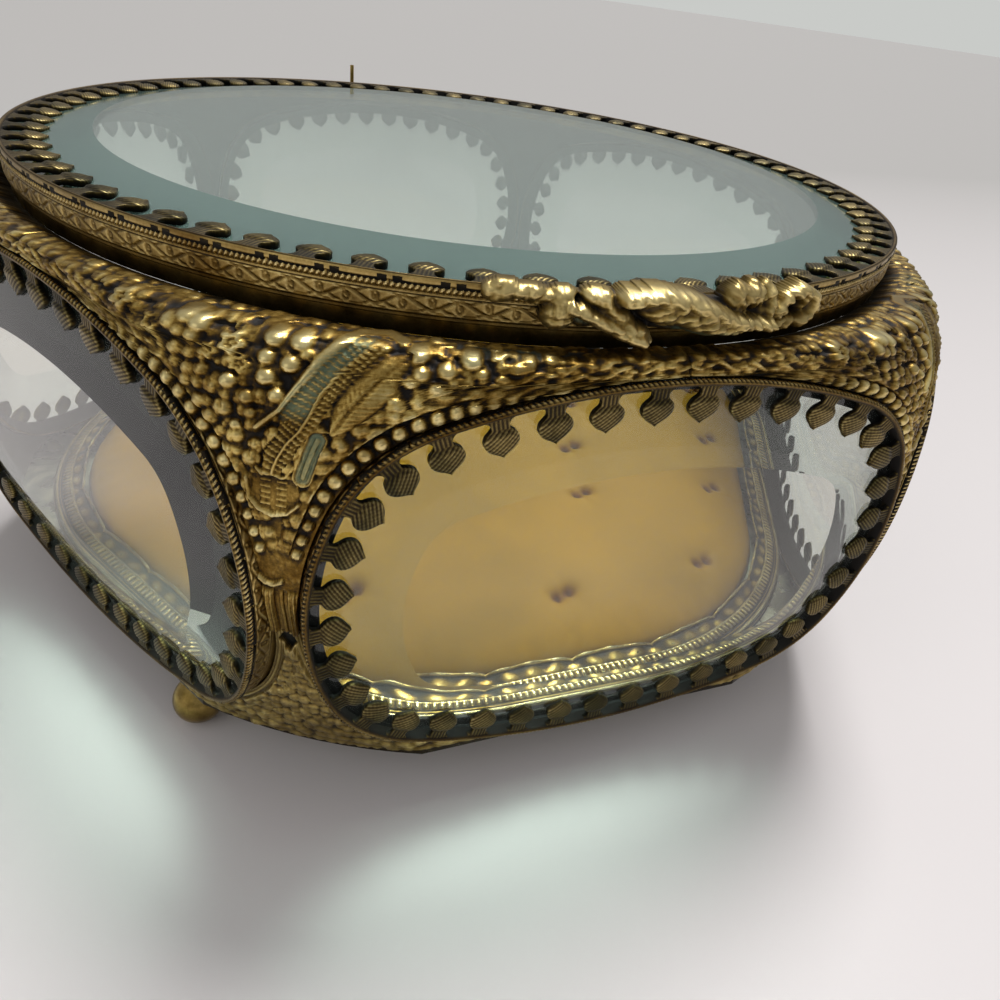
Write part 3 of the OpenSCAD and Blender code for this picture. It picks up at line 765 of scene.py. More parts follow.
def flowerHeight(a, q, x, y, radius):
    away, turn = np.hypot(a - x, q - y), np.arctan2(q - y, a - x)
    petals = radius * (0.82 + 0.18 * np.cos(5 * turn))
    ring = 0.55 * radius * halfRound(away - 0.62 * petals, 0.42 * petals)
    return np.maximum(ring, 0.5 * radius * halfRound(away, 0.3 * radius))


def grooves(a):
    # fine grooves of both castings beside the waist
    return 0.55 + 0.25 * halfRound(np.abs(a) - 1.5, 0.7) + 0.1 * wave(a / 0.55)


def fruitAndShells(height, level, a, q):
    for x, y, r in berries:
        away = np.hypot(a - x, q - y)
        dome = 0.45 + 1.05 * r * halfRound(away, r)
        height = np.where(away < r, np.maximum(height, dome + level), height)
    for x, y, r in flowers:
        height = np.maximum(height, level + 0.3 + flowerHeight(a, q, x, y, 1.25 * r) * 1.2)
    for x, y, start, end, cut in shells:
        away = np.hypot(a - x, q - y)
        shell = between(away, start, start + 0.3, end - 0.4, end)
        shell *= smoothStep(cut, cut - 0.4, a + (33 - q) * 0.25)
        height = np.maximum(height, shell * (0.75 + level + 0.34 * wave((away - start) / 0.8)))
    return height


def leafAndRibbon(height, level, a, q):
    # smooth leaf and tendril to the right of the ribbon
    leaf, along = alongLine(a, q, leafLine)
    half = 0.5 + 1.7 * np.sin(np.clip(along / 12.5, 0, 1) * math.pi)**0.7
    veins = 0.07 * wave((along + 0.8 * leaf) / 0.7)
    blade = 0.6 + level + (0.6 + veins) * halfRound(leaf, half) - 0.2 * halfRound(leaf, 0.25)
    height = withBead(np.where(leaf < half, blade, height), a, q, *tendril)
    ribbon, green = ribbonHeight(a, q)
    height = np.where(ribbon > 0.4, ribbon + level, height)
    edge = alongLine(a, q, goldEdge)[0]
    height = np.maximum(height, (1.6 + level) * halfRound(edge, 0.5 + 0.45 * smoothStep(26, 34, q))**0.7)
    # green tongue beside the ribbon's foot, in a raised rim
    tongue = alongLine(a, q, tongueLine)[0]
    flesh = 0.85 + 0.25 * halfRound(tongue, 0.9) - 0.2 * halfRound(np.abs(tongue) - 0.4, 0.16)
    height = np.maximum(np.where(tongue < 0.9, flesh, height), 1.25 * halfRound(tongue - 0.98, 0.2))
    green = np.maximum(green, smoothStep(0.95, 0.7, tongue))
    # lip at the ribbon's end, the cup below it with its own rungs and lip
    height = withBead(height, a, q, *ribbonEnd)
    cup = smoothStep(1.05, 0.95, np.hypot((a + 0.5) / 2.9, (q - 15.2) / 2.9)) * smoothStep(17.2, 16.8, q)
    rungs = np.clip(wave(q / strip["ropePitch"]), 0, 1)**2
    rungs *= smoothStep(1.0, 0.8, np.abs(np.abs(a + 0.4) - 0.9) * 1.6)
    height = withBead(np.where(cup > 0.5, 0.75 + 0.3 * rungs, height), a, q, *cupLip)
    return height, green, ribbon


def besideStrip(height, a, q, away, along):
    # beads beside a strip and the smooth edging on their inner side
    size = casting["beadRadius"] * (0.72 + 0.28 * smoothStep(11, 18, q))
    low, high = casting["beadLow"], casting["beadHigh"]
    rows = between(q, low, low + 0.5, high, high + 0.5)
    band = casting["beadFrom"] + size
    edging = 0.95 * halfRound(away - band - 0.55, 0.6)**0.8
    edging *= (0.9 + 0.1 * np.cos(2 * math.pi * along / 2.2 + 1))
    height = np.where((rows > 0.5) & (away < band + 0.1), 0.3, height)
    height = np.maximum(height, edging * rows * smoothStep(8, 13, q))
    step = np.mod(along, casting["beadGap"]) - casting["beadGap"] / 2
    bead = halfRound(np.hypot(away - casting["beadFrom"], step), size)
    height = np.where((bead > 0) & (rows > 0.5), np.maximum(height, 0.45 + 1.05 * size * bead), height)
    # fronds that follow the strip out along the arms
    arm = smoothStep(27.5, 29.5, q) * between(away, 0.2, 0.5, 2.8, 3.6)
    frond = 0.6 + 0.34 * wave((away * 0.9 + 0.35 * np.sin(along * 1.2)) / 1.2)
    frond *= 0.8 + 0.2 * wave((along + away * 1.5) / 2.4)
    return np.where((arm > 0.3) & (np.abs(a) > 13), np.maximum(frond * arm + 0.1, height * 0.75), height)


def upperOrnament(a, q, frames):
    # relief of the upper casting in mm and its verdigris: a across, q up the curve
    low = smoothStep(11, 6, q)
    height = 0.1 + (0.75 * pebbles(a, q, 1.8, 3) + 0.4 * pebbles(a + 0.4, q, 0.9, 5)) * (1 - 0.75 * low)
    height += 0.12 * pebbles(a, 0.3 * q, 0.7, 7) * low
    level = between(q, 8, 26, 34.5, 37) * 0.45 * smoothStep(17, 9, np.abs(a))
    height = fruitAndShells(height + level, level, a, q)
    height, green, ribbon = leafAndRibbon(height, level, a, q)
    # a small lip, and the groove down to the waist
    height = withBead(height, a, q, *smallLip)
    groove = smoothStep(2.6, 1.8, q)
    bed = 0.1 + 0.3 * halfRound(a, 0.3)
    height = height * (1 - groove) + groove * np.where(np.abs(a) < 0.8, bed, grooves(a))
    for away, along in frames:
        height = besideStrip(height, a, q, away, along)
    # old casting: nothing is quite smooth
    skin = 0.22 * pebbles(a + 3, q + 1, 0.55, 9) * smoothStep(0.3, 0.6, height)
    height += skin * (1 - 0.6 * (ribbon > 0.4))
    green = np.maximum(green, 0.8 * smoothStep(1.6, 0.2, np.hypot(a - 19.2, q - 34.4)))
    green = np.maximum(green, 0.5 * smoothStep(2.5, 0.5, np.hypot((a - 24) / 4, q - 36)))
    return np.maximum(height, 0.02), green


def lowerOrnament(a, drop, frames):
    # relief of the lower casting; drop is mm below the waist
    height = 0.1 + 0.45 * pebbles(a, drop, 1.5, 11) + 0.25 * pebbles(a, drop + 0.3, 0.7, 13)
    # rows of small flowers, wider towards the foot
    gap = 2.6
    for row in range(9):
        count = int((1.4 + row * 1.3) / gap)
        for x in np.arange(-count, count + 1) * gap + (row % 2) * gap / 2:
            height = np.maximum(height, 0.12 + 0.5 * flowerHeight(a, drop, x, 11.5 + row * 2.5, 1.2))
    # grooves that run on from the upper casting
    groove = smoothStep(11.5, 10, drop)
    height = height * (1 - groove) + groove * grooves(a)
    for away, along in frames:
        height *= smoothStep(0.9, 1.3, away) * 0.85 + 0.15
        height = np.maximum(height, 0.32 * halfRound(away - 0.55, 0.25))
    # border that runs down the middle, as two fine lines, and the dark recess above it
    for x in (-0.55, 0.55):
        height = np.maximum(height, 0.42 * halfRound(a - x, 0.25) * smoothStep(9, 10, drop))
    recess = smoothStep(1.2, 0.9, np.abs(a) / 1.1 + np.abs(drop - 7.6) / 2.2)
    height = height * (1 - recess) - 0.9 * recess
    return height, 0.25 * pebbles(a + 9, drop, 5.0, 17) / 3


def backedSheet(front, back, step):
    # closed mesh of a fine front grid and a coarse back grid that has every step-th of its points
    rows, cols = front.shape[:2]
    backRows, backCols = back.shape[:2]
    fine = np.arange(rows * cols).reshape(rows, cols)
    coarse = np.arange(backRows * backCols).reshape(backRows, backCols) + rows * cols
    quads = [gridFaces(rows, cols)] + flipped([gridFaces(backRows, backCols, first=rows * cols)])
    triangles = []
    edges = ((fine[0][::-1], coarse[0][::-1]), (fine[:, 0], coarse[:, 0]),
             (fine[-1], coarse[-1]), (fine[::-1, -1], coarse[::-1, -1]))
    for front1, back1 in edges:
        for i in range(len(back1) - 1):
            low, middle, high = i * step, i * step + step // 2, (i + 1) * step
            triangles += [(front1[j + 1], front1[j], back1[i]) for j in range(low, middle)]
            triangles.append((front1[middle], back1[i], back1[i + 1]))
            triangles += [(front1[j + 1], front1[j], back1[i + 1]) for j in range(middle, high)]
    return quads + flipped([np.array(triangles)])


def castingSurface(up):
    # radius of the casting's surface at height up from the waist
    rise = np.clip(up / body["half"], -1, 1)
    waist, full = casting["waistRadius"], casting["fullness"]
    bulge = (waist - casting["topRadius"]) * (1 - np.abs(rise)**full)**(1 / full)
    return np.where(up > 0, casting["topRadius"] + bulge, waist + (waist - casting["footRadius"]) * rise)


def castingGrid(up, cols):
    # azimuths from the corner, across each row between the two strips
    point = outlineAt(np.linspace(0, quarterLength, 1500))[0]
    fromMiddle = np.abs(up + body["waist"] - panel["middle"])
    half = np.interp(fromMiddle, point[::-1, 1], point[::-1, 0]) + casting["gap"]
    radius = castingSurface(up)
    reach = np.arcsin(half / radius)
    reach = np.where(radius * np.cos(reach) > casting["flat"], np.arctan(half / casting["flat"]), reach)
    return (sideStep / 2 - reach)[:, None] * np.linspace(-1, 1, cols)[None, :]


def castingPoints(up, azimuth, height, lean=0.0, inward=0.0):
    # points of the first corner's casting, pushed out by height; lean is how far the push tips up or down
    radius = castingSurface(up)[:, None]
    flat = casting["flat"] / np.cos(sideStep / 2 - np.abs(azimuth))
    soft = casting["soft"]
    radius = -soft * np.logaddexp(-radius / soft, -flat / soft) + height - np.reshape(inward, (-1, 1))
    return roundAxis(radius, azimuth, up[:, None] + height * np.reshape(lean, (-1, 1)) + body["waist"])


def stripFrames(points):
    # distance from, and place along, the outlines of the panels left and right of the first corner
    frames = []
    for turn in (sideStep / 2, -sideStep / 2):
        local = turned(points, turn)
        frames.append(fromOutline(local[..., 0], local[..., 2] - panel["middle"]))
    return frames


def castParts(which, front, back, cavity, green, material):
    count = back.shape[0] * back.shape[1]
    # the castings' backs take the dark end of the colour ramp: painted shade
    values = np.concatenate([cavity.ravel(), np.full(count, 0.9)])
    patina = np.concatenate([green.ravel(), np.zeros(count)])
    points = np.concatenate([front.reshape(-1, 3), back.reshape(-1, 3)])
    faces = backedSheet(front, back, casting["backStep"])
    for k in range(1, sideCount + 1):
        makePiece(f"{which}_casting_{k}", [(turned(points, (k - 0.5) * sideStep), faces, values, patina)],
                  "casket", material, [f"{which}_spandrel_{k}"])


def upperCastings(lowest):
    # rows packed closer towards the top, where the arms run out
    angle = np.linspace(0, math.pi / 2, 4001)
    bulge = casting["waistRadius"] - casting["topRadius"]
    steps = np.hypot(np.diff(body["half"] * np.sin(angle)), np.diff(bulge * np.cos(angle)))
    curveLength = np.concatenate([[0], np.cumsum(steps)])
    rows, cols, step = casting["rows"] + 1, casting["cols"] + 1, casting["backStep"]
    q = lowest + (curveLength[-1] - lowest) * np.linspace(0, 1, rows)**0.93
    up = np.where(q < 0, q, body["half"] * np.sin(np.interp(q, curveLength, angle)))
    azimuth = castingGrid(up, cols)
    # the last rows run in over the shoulder to the lid's seat
    seat = np.clip((np.arange(rows) - (rows - 1 - casting["seatRows"])) / casting["seatRows"], 0, 1)
    inward = (casting["topRadius"] - casting["seatRadius"]) * seat
    near = stripFrames(castingPoints(up, azimuth, 0.0))
    # the ornament stands off the curve it was laid out on, so its lower part is seen a little further down
    place = q - casting["seenLower"] * (1 - smoothStep(18, 36, q)) * smoothStep(4, 12, q)
    place = np.broadcast_to(place[:, None], azimuth.shape)
    height, green = upperOrnament(azimuth * casting["drum"], place, near)
    height = np.minimum(height, 2.6) * smoothStep(0, 0.4, np.minimum(near[0][0], near[1][0]) + 0.35)
    lean = 0.35 * smoothStep(10, 25, q) * (1 - smoothStep(33, 36.5, q))
    shoulder = np.minimum(up + body["waist"], body["top"] - casting["shoulder"]) - body["waist"]
    front = castingPoints(shoulder, azimuth, (height - 0.1) * (1 - seat)[:, None], lean, inward)
    # on the shoulder the relief stands up instead of out
    onTop = smoothStep(33, 36, q)
    front[..., 2] += np.minimum(height, 1.3) * 0.45 * onTop[:, None]
    front[..., 2] = np.minimum(front[..., 2], body["top"] + 0.25)
    depth = -casting["thick"] * (1 - 0.95 * seat[::step, None])
    back = castingPoints(up[::step], azimuth[::step, ::step], depth, 0.0, inward[::step])
    back[..., 2] -= 1.5 * onTop[::step, None]
    cavity = 0.5 * cavityOf(height, 3, 0.36) + 0.5 * cavityOf(height, 8, 0.75)
    castParts("upper", front, back, cavity, green, giltCasting)


def lowerCastings(lowest):
    foot = boxMm("lower_spandrel_1")[0][2]
    rows, cols, step = 121, 133, casting["backStep"]
    up = np.linspace(body["waist"] + lowest - 0.05, foot + 0.02, rows)[::-1] - body["waist"]
    azimuth = castingGrid(up, cols)
    near = stripFrames(castingPoints(up, azimuth, 0.0))
    drop = -np.broadcast_to(up[:, None], azimuth.shape)
    height, green = lowerOrnament(azimuth * casting["drum"], drop, near)
    front = castingPoints(up, azimuth, height - 0.1)
    back = castingPoints(up[::step], azimuth[::step, ::step], -casting["thick"])
    cavity = 0.5 * cavityOf(height, 3, 0.3) + 0.5 * cavityOf(height, 7, 0.5) - 0.05
    # the sunk recess takes the darkest colour of the ramp: painted shade together with grime
    cavity = np.where(height < -0.3, 1.0, np.minimum(cavity, 0.85))
    castParts("lower", front, back, cavity, green, wornCasting)


# Clasp: a cast thumb piece of knobs, leaves and a scroll, soldered to the lid's rim

clasp = {
    "azimuthStep": math.radians(0.13), "from": math.radians(-17.4), "to": math.radians(14.2),
    "heightStep": 0.17, "low": 77.3, "high": 84.5, "blend": 0.85, "farthest": 5.4, "squat": 0.84,
}
# Forms of the clasp: azimuth in degrees, height above the table, half width, half height, turn, how far out
claspLumps = [
    (-15.9, 83, 2.6, 1.6, 10, 2.4), (-13.4, 82.9, 2.6, 1.3, -8, 2.4), (-11.2, 80.6, 2.3, 2.1, 30, 3.4),
    (-11, 83, 2.2, 1.2, 0, 2.2), (-8.9, 80.4, 2.2, 1.8, 0, 2.0), (-7.6, 82.8, 3.0, 1.4, -12, 3.0),
    (-6.2, 80.2, 3.2, 1.8, -35, 3.4), (-4.4, 78.2, 2.4, 1.6, -30, 4.0), (-2.6, 82.0, 3.8, 2.3, -18, 4.4),
    (0.6, 81.2, 5.2, 2.5, -24, 5.0), (3.4, 79.6, 4.2, 1.5, -12, 4.3), (4.8, 83.0, 2.3, 2.2, 15, 3.5),
    (6.5, 83.4, 1.6, 2.2, 15, 3.2), (8.2, 83.2, 1.4, 2.1, 15, 2.9), (8.2, 80.6, 2.6, 2.0, 20, 3.3),
    (12.2, 82.4, 2.1, 1.7, 0, 3.0), (11.2, 78.8, 3.0, 1.3, 6, 3.1), (13.2, 80.4, 1.4, 2.4, 0, 2.8),
    (1.0, 80.6, 14, 2.6, -3, 1.2)]
# Its ridges: line, half width, how far out
claspRidges = [([(-6.2, 83.6), (-3.4, 84.2), (-0.5, 83.4), (2, 81.8), (4.6, 80.2), (8, 79.4)], 1.0, 4.9),
               ([(-10.2, 82), (-8, 80.2), (-6, 78.6), (-4.2, 77.4)], 0.9, 3.9),
               ([(9.6, 80.8), (10.2, 82.9), (12, 84), (13.6, 82.8), (13.8, 80.6), (12.2, 79)], 0.85, 3.4)]


def maskedShell(front, back, keep):
    # closed mesh of the kept quads of two grids, one behind the other, walled round their border
    rows, cols = front.shape[:2]
    index = np.arange(rows * cols).reshape(rows, cols)
    a, b, c, d = index[:-1, :-1], index[:-1, 1:], index[1:, 1:], index[1:, :-1]
    faces = [np.stack([a, b, c, d], -1)[keep], np.stack([d, c, b, a], -1)[keep] + rows * cols]
    around = np.pad(keep, 1)
    for near, far, (di, dj) in ((a, b, (-1, 0)), (b, c, (0, 1)), (c, d, (1, 0)), (d, a, (0, -1))):
        open1 = keep & ~around[1 + di:rows + di, 1 + dj:cols + dj]
        f, g = near[open1], far[open1]
        faces.append(np.stack([g, f, f + rows * cols, g + rows * cols], -1))
    faces = np.concatenate(faces)
    used, faces = np.unique(faces, return_inverse=True)
    points = np.concatenate([front.reshape(-1, 3), back.reshape(-1, 3)])[used]
    return points, [faces.reshape(-1, 4)], used


def thumbClasp():
    azimuth = np.arange(clasp["from"], clasp["to"], clasp["azimuthStep"])
    z = np.arange(clasp["low"], clasp["high"], clasp["heightStep"])
    angles, heights = np.meshgrid(azimuth, z)
    radius = lid["radius"]
    across, perDegree = angles * radius, math.radians(1) * radius

    def placed(degrees, up):
        # the forms' places are squeezed down to the height that the rim leaves them
        return degrees * perDegree, clasp["low"] + (up - clasp["low"]) * clasp["squat"]

    # the forms melt into each other, as in a worn casting
    blend, total = clasp["blend"], np.ones(angles.shape)
    for degrees, up, halfW, halfH, turn, out in claspLumps:
        side, up = placed(degrees, up)
        c, s = math.cos(math.radians(turn)), math.sin(math.radians(turn))
        x, y = across - side, heights - up
        u, v = (c * x + s * y) / halfW, (-s * x + c * y) / (0.92 * halfH)
        total += np.exp(out * halfRound(np.hypot(u, v), 1.0)**0.8 / blend) - 1
    for line, half, out in claspRidges:
        away = alongLine(across, heights, [placed(*place) for place in line])[0]
        total += np.exp(out * halfRound(away, half)**0.6 / blend) - 1
    height = blend * np.log(total)
    solid = smoothStep(0.5, 1.4, height)
    # veins of the big leaf, ribs of the shell, and the casting's skin
    leaf, along = alongLine(across, heights, [(-6 * perDegree, 82.6), (0, 81.4), (7 * perDegree, 79)])
    height -= 0.16 * solid * (1 + wave((along * 0.8 + leaf) / 1.5)) * smoothStep(3.2, 2.6, leaf)
    shell = np.hypot(across - 9.4 * perDegree, heights - 80.2)
    height -= 0.2 * solid * (1 + wave(shell / 1.3)) * smoothStep(6.5, 5.5, shell)
    skin = 0.5 * pebbles(across, heights, 1.4, 31) + 0.45 * pebbles(across, heights, 0.65, 33)
    height += solid * (skin - 0.3)
    for degrees, up, size in ((11.6, 80.7, 1.1), (5.8, 81.4, 0.7), (-9.9, 81.9, 0.6)):
        height *= 1 - 0.8 * smoothStep(size, 0.5 * size, np.hypot(across - degrees * perDegree, heights - up))
    height = np.minimum(height, clasp["farthest"])
    kept = height > 0.5
    keep = kept[:-1, :-1] & kept[1:, :-1] & kept[:-1, 1:] & kept[1:, 1:]
    points, faces, used = maskedShell(
        roundAxis(radius + height, angles, heights), roundAxis(radius - 0.35, angles, heights), keep)
    cavity = 0.5 * cavityOf(height, 3, 0.4) + 0.5 * cavityOf(height, 9, 1.1) - 0.05
    green = smoothStep(0.9, 0.3, np.hypot((across + 9 * perDegree) / 2.4, (heights - 80) / 1.6))
    green *= smoothStep(0.4, 0.7, cavity)
    under = smoothStep(1, 0.4, np.hypot((across - 2 * perDegree) / 6, (heights - 78.2) / 1.1))
    green = np.maximum(green, under)
    values = np.concatenate([cavity.ravel(), np.full(angles.size, 0.6)])[used]
    patina = np.concatenate([green.ravel(), np.zeros(angles.size)])[used]
    makePiece("thumb_clasp", [(points, faces, values, patina)], "lid", wornCasting, ["clasp"])


# Base: pressed gallery, satin cushion

# The gallery's parts stand one behind the other: beads, a reeded band, and leaves that end in scallops
gallery = {"outer": 81.2, "corner": 24.6, "stations": 1500, "scallops": 30, "reeds": 420}


def roundHex(azimuth, inradius):
    # distance from the axis to a hexagon with rounded corners
    corner, half = gallery["corner"], sideStep / 2
    phi = np.abs(azimuth - sideStep * np.round(azimuth / sideStep))
    inner = (inradius - corner * math.cos(half))**2 - (corner * np.sin(half - phi))**2
    return np.where(inradius * np.tan(phi) < corner * math.sin(half), inradius / np.cos(phi),
                    corner * np.cos(half - phi) + np.sqrt(np.maximum(inner, 0)))


def baseGallery():
    base, stations = boxMm("base_gallery")[0][2], gallery["stations"]
    azimuth = (np.arange(stations) * 2 * math.pi / stations)[:, None]
    edge = roundHex(azimuth, gallery["outer"])
    along = np.mod(azimuth * gallery["scallops"] / (2 * math.pi), 1)
    # t is the distance in from the outer edge; the last part of it is stretched to the scallops' edge
    t = np.concatenate([[0.0, 0.0], np.linspace(0.15, 1.7, 8), np.linspace(1.85, 3.5, 9),
                        np.linspace(3.65, 6.3, 14)])
    leafEdge = 5.7 + 0.75 * np.sqrt(np.abs(np.sin(math.pi * along)))
    t = np.where(t > 3.6, 3.6 + (t - 3.6) / 2.7 * (leafEdge - 3.6), t)
    slope = np.interp(t, [0, 0.15, 1.8, 6.4], [0.6, 1.2, 2.2, 3.4])
    reeds = 0.16 * np.cos(azimuth * gallery["reeds"]) * halfRound(t - 2.7, 0.85)
    beads = 0.55 * halfRound(t - 0.55, 0.55) + 0.25 * halfRound(t - 1.5, 0.2)
    rim = 0.3 * halfRound(t - 3.65, 0.2) + 0.35 * halfRound(t - leafEdge + 0.2, 0.35)
    fan = (along - 0.5) * 2
    leaf = smoothStep(3.7, 4.0, t) * (0.2 * (1 - fan**2) + 0.11 * np.cos(fan * (6 - 0.5 * t) * math.pi))
    relief = reeds + 0.35 * halfRound(t - 2.7, 0.95) + beads + rim + leaf
    z = base + slope + relief
    z[:, 0] = base
    under = np.array([(5.9, 2.6), (2.9, 1.4), (2.9, 0.0)])
    r = np.concatenate([edge - t, edge - under[:, 0]], 1)
    z = np.concatenate([z, np.broadcast_to(base + under[:, 1], (stations, 3))], 1)
    # the gallery's underside takes a darker colour from the ramp: painted shade
    cavity = np.concatenate([cavityOf(relief, 3, 0.16), np.full((stations, 3), 0.7)], 1)
    faces = flipped([gridFaces(*z.shape, True, True)])
    makePiece("pressed_gallery", [(roundAxis(r, azimuth, z), faces, cavity, 0.0)], "casket",
              galleryMetal, ["base_gallery"])


cushion = {
    "side": 74.8, "crown": 6.5, "tuftDepth": 1.5, "tuftSpread": 1.35, "tuftPair": 2.7,
    "rings": 150, "spokes": 420,
    # tufts listed one by one: the front right ones as the photograph shows them
    "tufts": [(4, -62), (38, -58), (56, -34), (64, -15), (22, -32), (28, -17), (-22, -20), (-56, -26),
              (-30, -56), (-50, 14), (-12, 16), (28, 22), (62, 20), (-34, 46), (4, 48), (42, 48)],
}


def satinCushion():
    base, rings, spokes = boxMm("cushion")[0][2], cushion["rings"], cushion["spokes"]
    u = np.linspace(1.0, 0.0, rings)[:-1, None]
    azimuth = (np.arange(spokes) * 2 * math.pi / spokes)[None, :]
    edge = roundHex(azimuth, cushion["side"])
    r = u * (edge - 0.3)
    x, y = r * np.sin(azimuth), -r * np.cos(azimuth)
    top = cushion["crown"] * np.sqrt(np.clip(1 - u**6, 0, 1)) * 0.97
    dip, pull, crease = np.zeros(x.shape), np.zeros(x.shape), np.zeros(x.shape)
    rng = np.random.default_rng(8)
    for tx, ty in cushion["tufts"]:
        away, turn = np.hypot(x - tx, y - ty), np.arctan2(y - ty, x - tx)
        start = rng.uniform(0, 6.28)
        folds = np.cos(5 * turn + start) + 0.6 * np.cos(8 * turn + 2 * start)
        # a stitch pulls the satin down at two places, side by side
        for end in (-0.5, 0.5):
            pair = np.hypot(x - tx - end * cushion["tuftPair"], y - ty - 0.3 * end * cushion["tuftPair"])
            dip = np.maximum(dip, np.exp(-(pair / cushion["tuftSpread"])**1.8))
        pull = np.maximum(pull, np.exp(-(away / 5)**2))
        crease += 0.1 * folds * np.exp(-(away / 6)**2) * smoothStep(0.6, 3, away)
    swell = 0.35 * np.sin(x / 13 + 0.8) * np.sin(y / 15 + 0.4) + 0.2 * np.sin((x + 2 * y) / 21)
    edgeFold = 0.08 * np.cos(azimuth * 96 + 0.6 * np.sin(azimuth * 7)) * smoothStep(0.86, 0.985, u)
    z = top - cushion["tuftDepth"] * dip - 0.5 * pull + crease + swell * smoothStep(1, 0.8, u) + edgeFold
    z = base + np.clip(z, 0.4, cushion["crown"])
    # the satin's grid, the crown's middle, and the foot where it is turned under
    foot = np.stack([x[0] * 0.97, y[0] * 0.97, np.full(spokes, base)], -1)
    points = np.concatenate([np.stack([x, y, z], -1).reshape(-1, 3), [[0, 0, z[-1].mean()]], foot])
    i = np.arange(spokes)
    j = (i + 1) % spokes
    last, count = (rings - 2) * spokes, (rings - 1) * spokes
    under = count + 1 + i
    faces = [gridFaces(rings - 1, spokes, closeCols=True),
             np.stack([last + i, last + j, np.full(spokes, count)], -1),
             np.stack([under, count + 1 + j, j, i], -1), under[None, ::-1]]
    # the tufts' dents, and the turned-under foot less so, get a cavity value that darkens them: painted shade
    cavity = np.concatenate([np.clip(0.5 + 0.5 * dip**1.2, 0, 1).ravel(), [0.5], np.full(spokes, 0.7)])
    piece = makePiece("satin_cushion", [(points, faces, cavity, 0.0)], "casket", goldSatin,
                      ["cushion"])


sideStrips()
print("side strips made")
lidRim()
glasses()
print("lid and glasses made")
joint = boxMm("upper_spandrel_1")[0][2] - body["waist"]
upperCastings(joint)
lowerCastings(joint)
print("castings made")
thumbClasp()
baseGallery()
satinCushion()
print("clasp, gallery and cushion made")

# Pieces that keep the construction's own shape

nodeLooks = {"base_pan": panMetal, "cushion_card": paperCard}
for name in ("top_ring", "lid_frame", "foot_front_left", "foot_front_right", "foot_back_left",
             "foot_back_right", "hinge_leaf_body", "hinge_leaf_lid", "hinge_pin"):
    nodeLooks[name] = brownedBrass
for name, material in nodeLooks.items():
    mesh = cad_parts[name].data
    mesh.materials.clear()
    mesh.materials.append(material)

# Floor, light and camera

# the floor greys from its pale colour at the front to the far colour at the back: painted shade, for the far
# backdrop that less light reaches
stageLook = {
    "floor": "#dbd5d4", "far": "#aeaba8", "farFrom": -0.1, "farTo": 0.45, "size": 40.0,
    "sky": "#f1f2f4", "skyLow": "#a3a19f", "skyStrength": 0.52, "behind": "#c9cbc8",
}
lamps = {
    # one broad soft key, from behind on the right
    "key": {"kind": "SUN", "at": (0.32, 0.5, 1.15), "to": (0, 0, 0),
            "settings": {"energy": 2.6, "angle": math.radians(20)}},
    # a weak fill from the left, for the castings' shaded side
    "fill": {"kind": "AREA", "at": (-0.7, -0.35, 0.45), "to": (0, 0, 0.04),
             "settings": {"energy": 0.8, "size": 0.8, "shape": "DISK"}},
}
# The photographer's place, from the camera fitted to the photograph
lensLook = {
    "at": (-0.05417, -0.15618, 0.1104), "turn": (55.28, -6.80, -19.98),
    "settings": {"lens": 27.03, "sensor_width": 36, "clip_start": 0.01, "clip_end": 20},
}


def addThing(name, data, at=(0, 0, 0), settings=None):
    for key, value in (settings or {}).items():
        setattr(data, key, value)
    thing = bpy.data.objects.new(name, data)
    bpy.context.scene.collection.objects.link(thing)
    thing.location = at
    return thing


def makeLamps():
    for name, lamp in lamps.items():
        thing = addThing(name, bpy.data.lights.new(name, lamp["kind"]), lamp["at"], lamp["settings"])
        x, y, z = np.array(lamp["to"]) - np.array(thing.location)
        thing.rotation_euler = (math.atan2(math.hypot(x, y), -z), 0, math.atan2(-x, y))


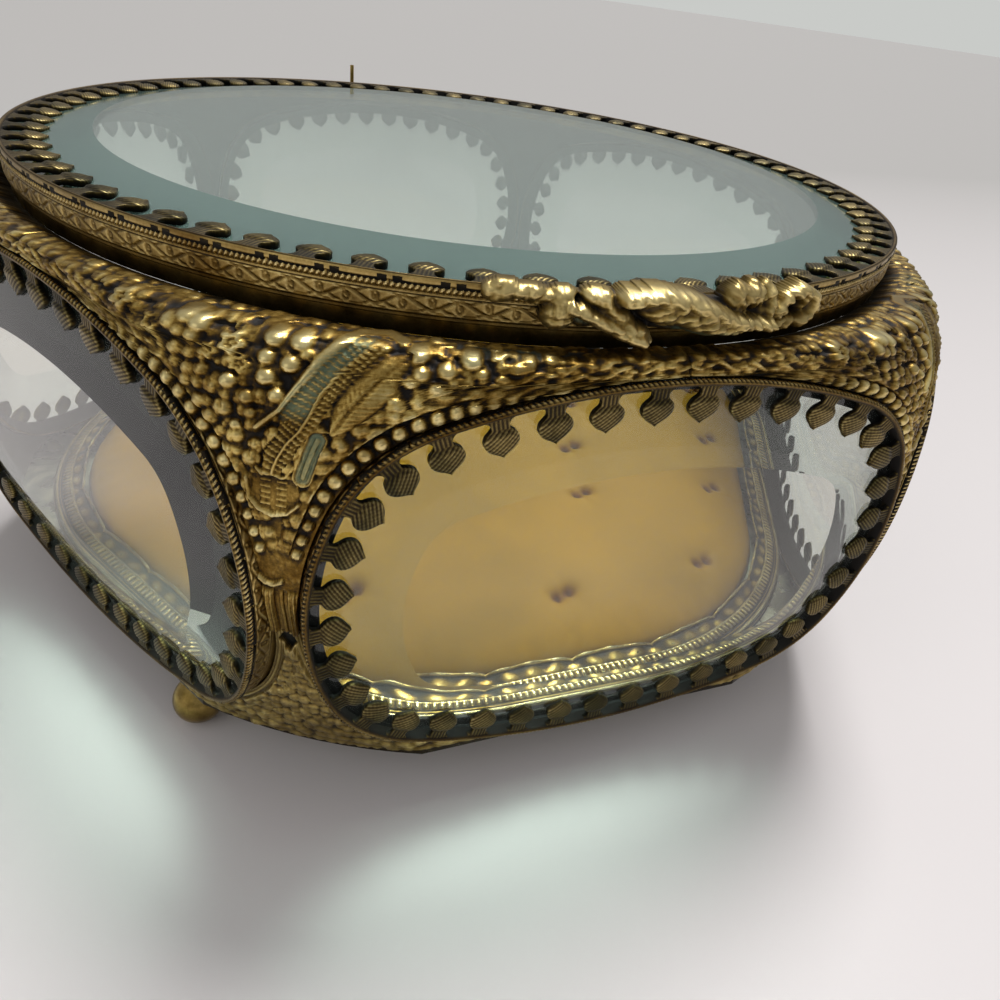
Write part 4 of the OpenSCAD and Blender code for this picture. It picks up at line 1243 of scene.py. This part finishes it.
def makeFloor():
    material, tree, place = startMaterial("paleFloor")
    back = addNode(tree, "ShaderNodeSeparateXYZ", {"Vector": place}).outputs["Y"]
    # painted shade: the floor's colour darkens towards the back
    far = addNode(tree, "ShaderNodeMapRange", {
        "Value": back, "From Min": stageLook["farFrom"], "From Max": stageLook["farTo"]}).outputs[0]
    setSurface(tree, addNode(tree, "ShaderNodeBsdfPrincipled", {
        "Base Color": mixed(tree, far, linear(stageLook["floor"]), linear(stageLook["far"])),
        "Roughness": 0.75, "Specular IOR Level": 0.3}))
    half = stageLook["size"] / 2
    mesh = bpy.data.meshes.new("floor")
    corners = [(-half, -half, 0), (half, -half, 0), (half, half, 0), (-half, half, 0)]
    mesh.from_pydata(corners, [], [range(4)])
    mesh.materials.append(material)
    addThing("floor", mesh)


def makeWorld():
    world = bpy.data.worlds.new("studio")
    bpy.context.scene.world = world
    world.use_nodes = True
    tree = world.node_tree
    tree.nodes.clear()
    direction = addNode(tree, "ShaderNodeTexCoord").outputs["Generated"]
    up = addNode(tree, "ShaderNodeSeparateXYZ", {"Vector": direction}).outputs["Z"]
    sky = ramp(tree, up, [(0.0, stageLook["skyLow"]), (0.5, stageLook["sky"])])
    light = addNode(tree, "ShaderNodeBackground", {"Color": sky, "Strength": stageLook["skyStrength"]})
    # what is seen straight, or through the glass, is the pale wall of the room
    pale = addNode(tree, "ShaderNodeBackground", {"Color": linear(stageLook["behind"]), "Strength": 1.0})
    ray = addNode(tree, "ShaderNodeLightPath").outputs
    seen = reckon(tree, "MAXIMUM", ray["Is Camera Ray"], ray["Is Transmission Ray"])
    both = addNode(tree, "ShaderNodeMixShader", {0: seen, 1: light.outputs[0], 2: pale.outputs[0]})
    setSurface(tree, both, "ShaderNodeOutputWorld")


def makeCamera():
    camera = addThing("camera", bpy.data.cameras.new("camera"), lensLook["at"], lensLook["settings"])
    camera.rotation_euler = [math.radians(angle) for angle in lensLook["turn"]]
    bpy.context.scene.camera = camera


makeFloor()
makeWorld()
makeLamps()
makeCamera()
bpy.context.scene.view_settings.view_transform = "Standard"
print("stage, light and camera made")
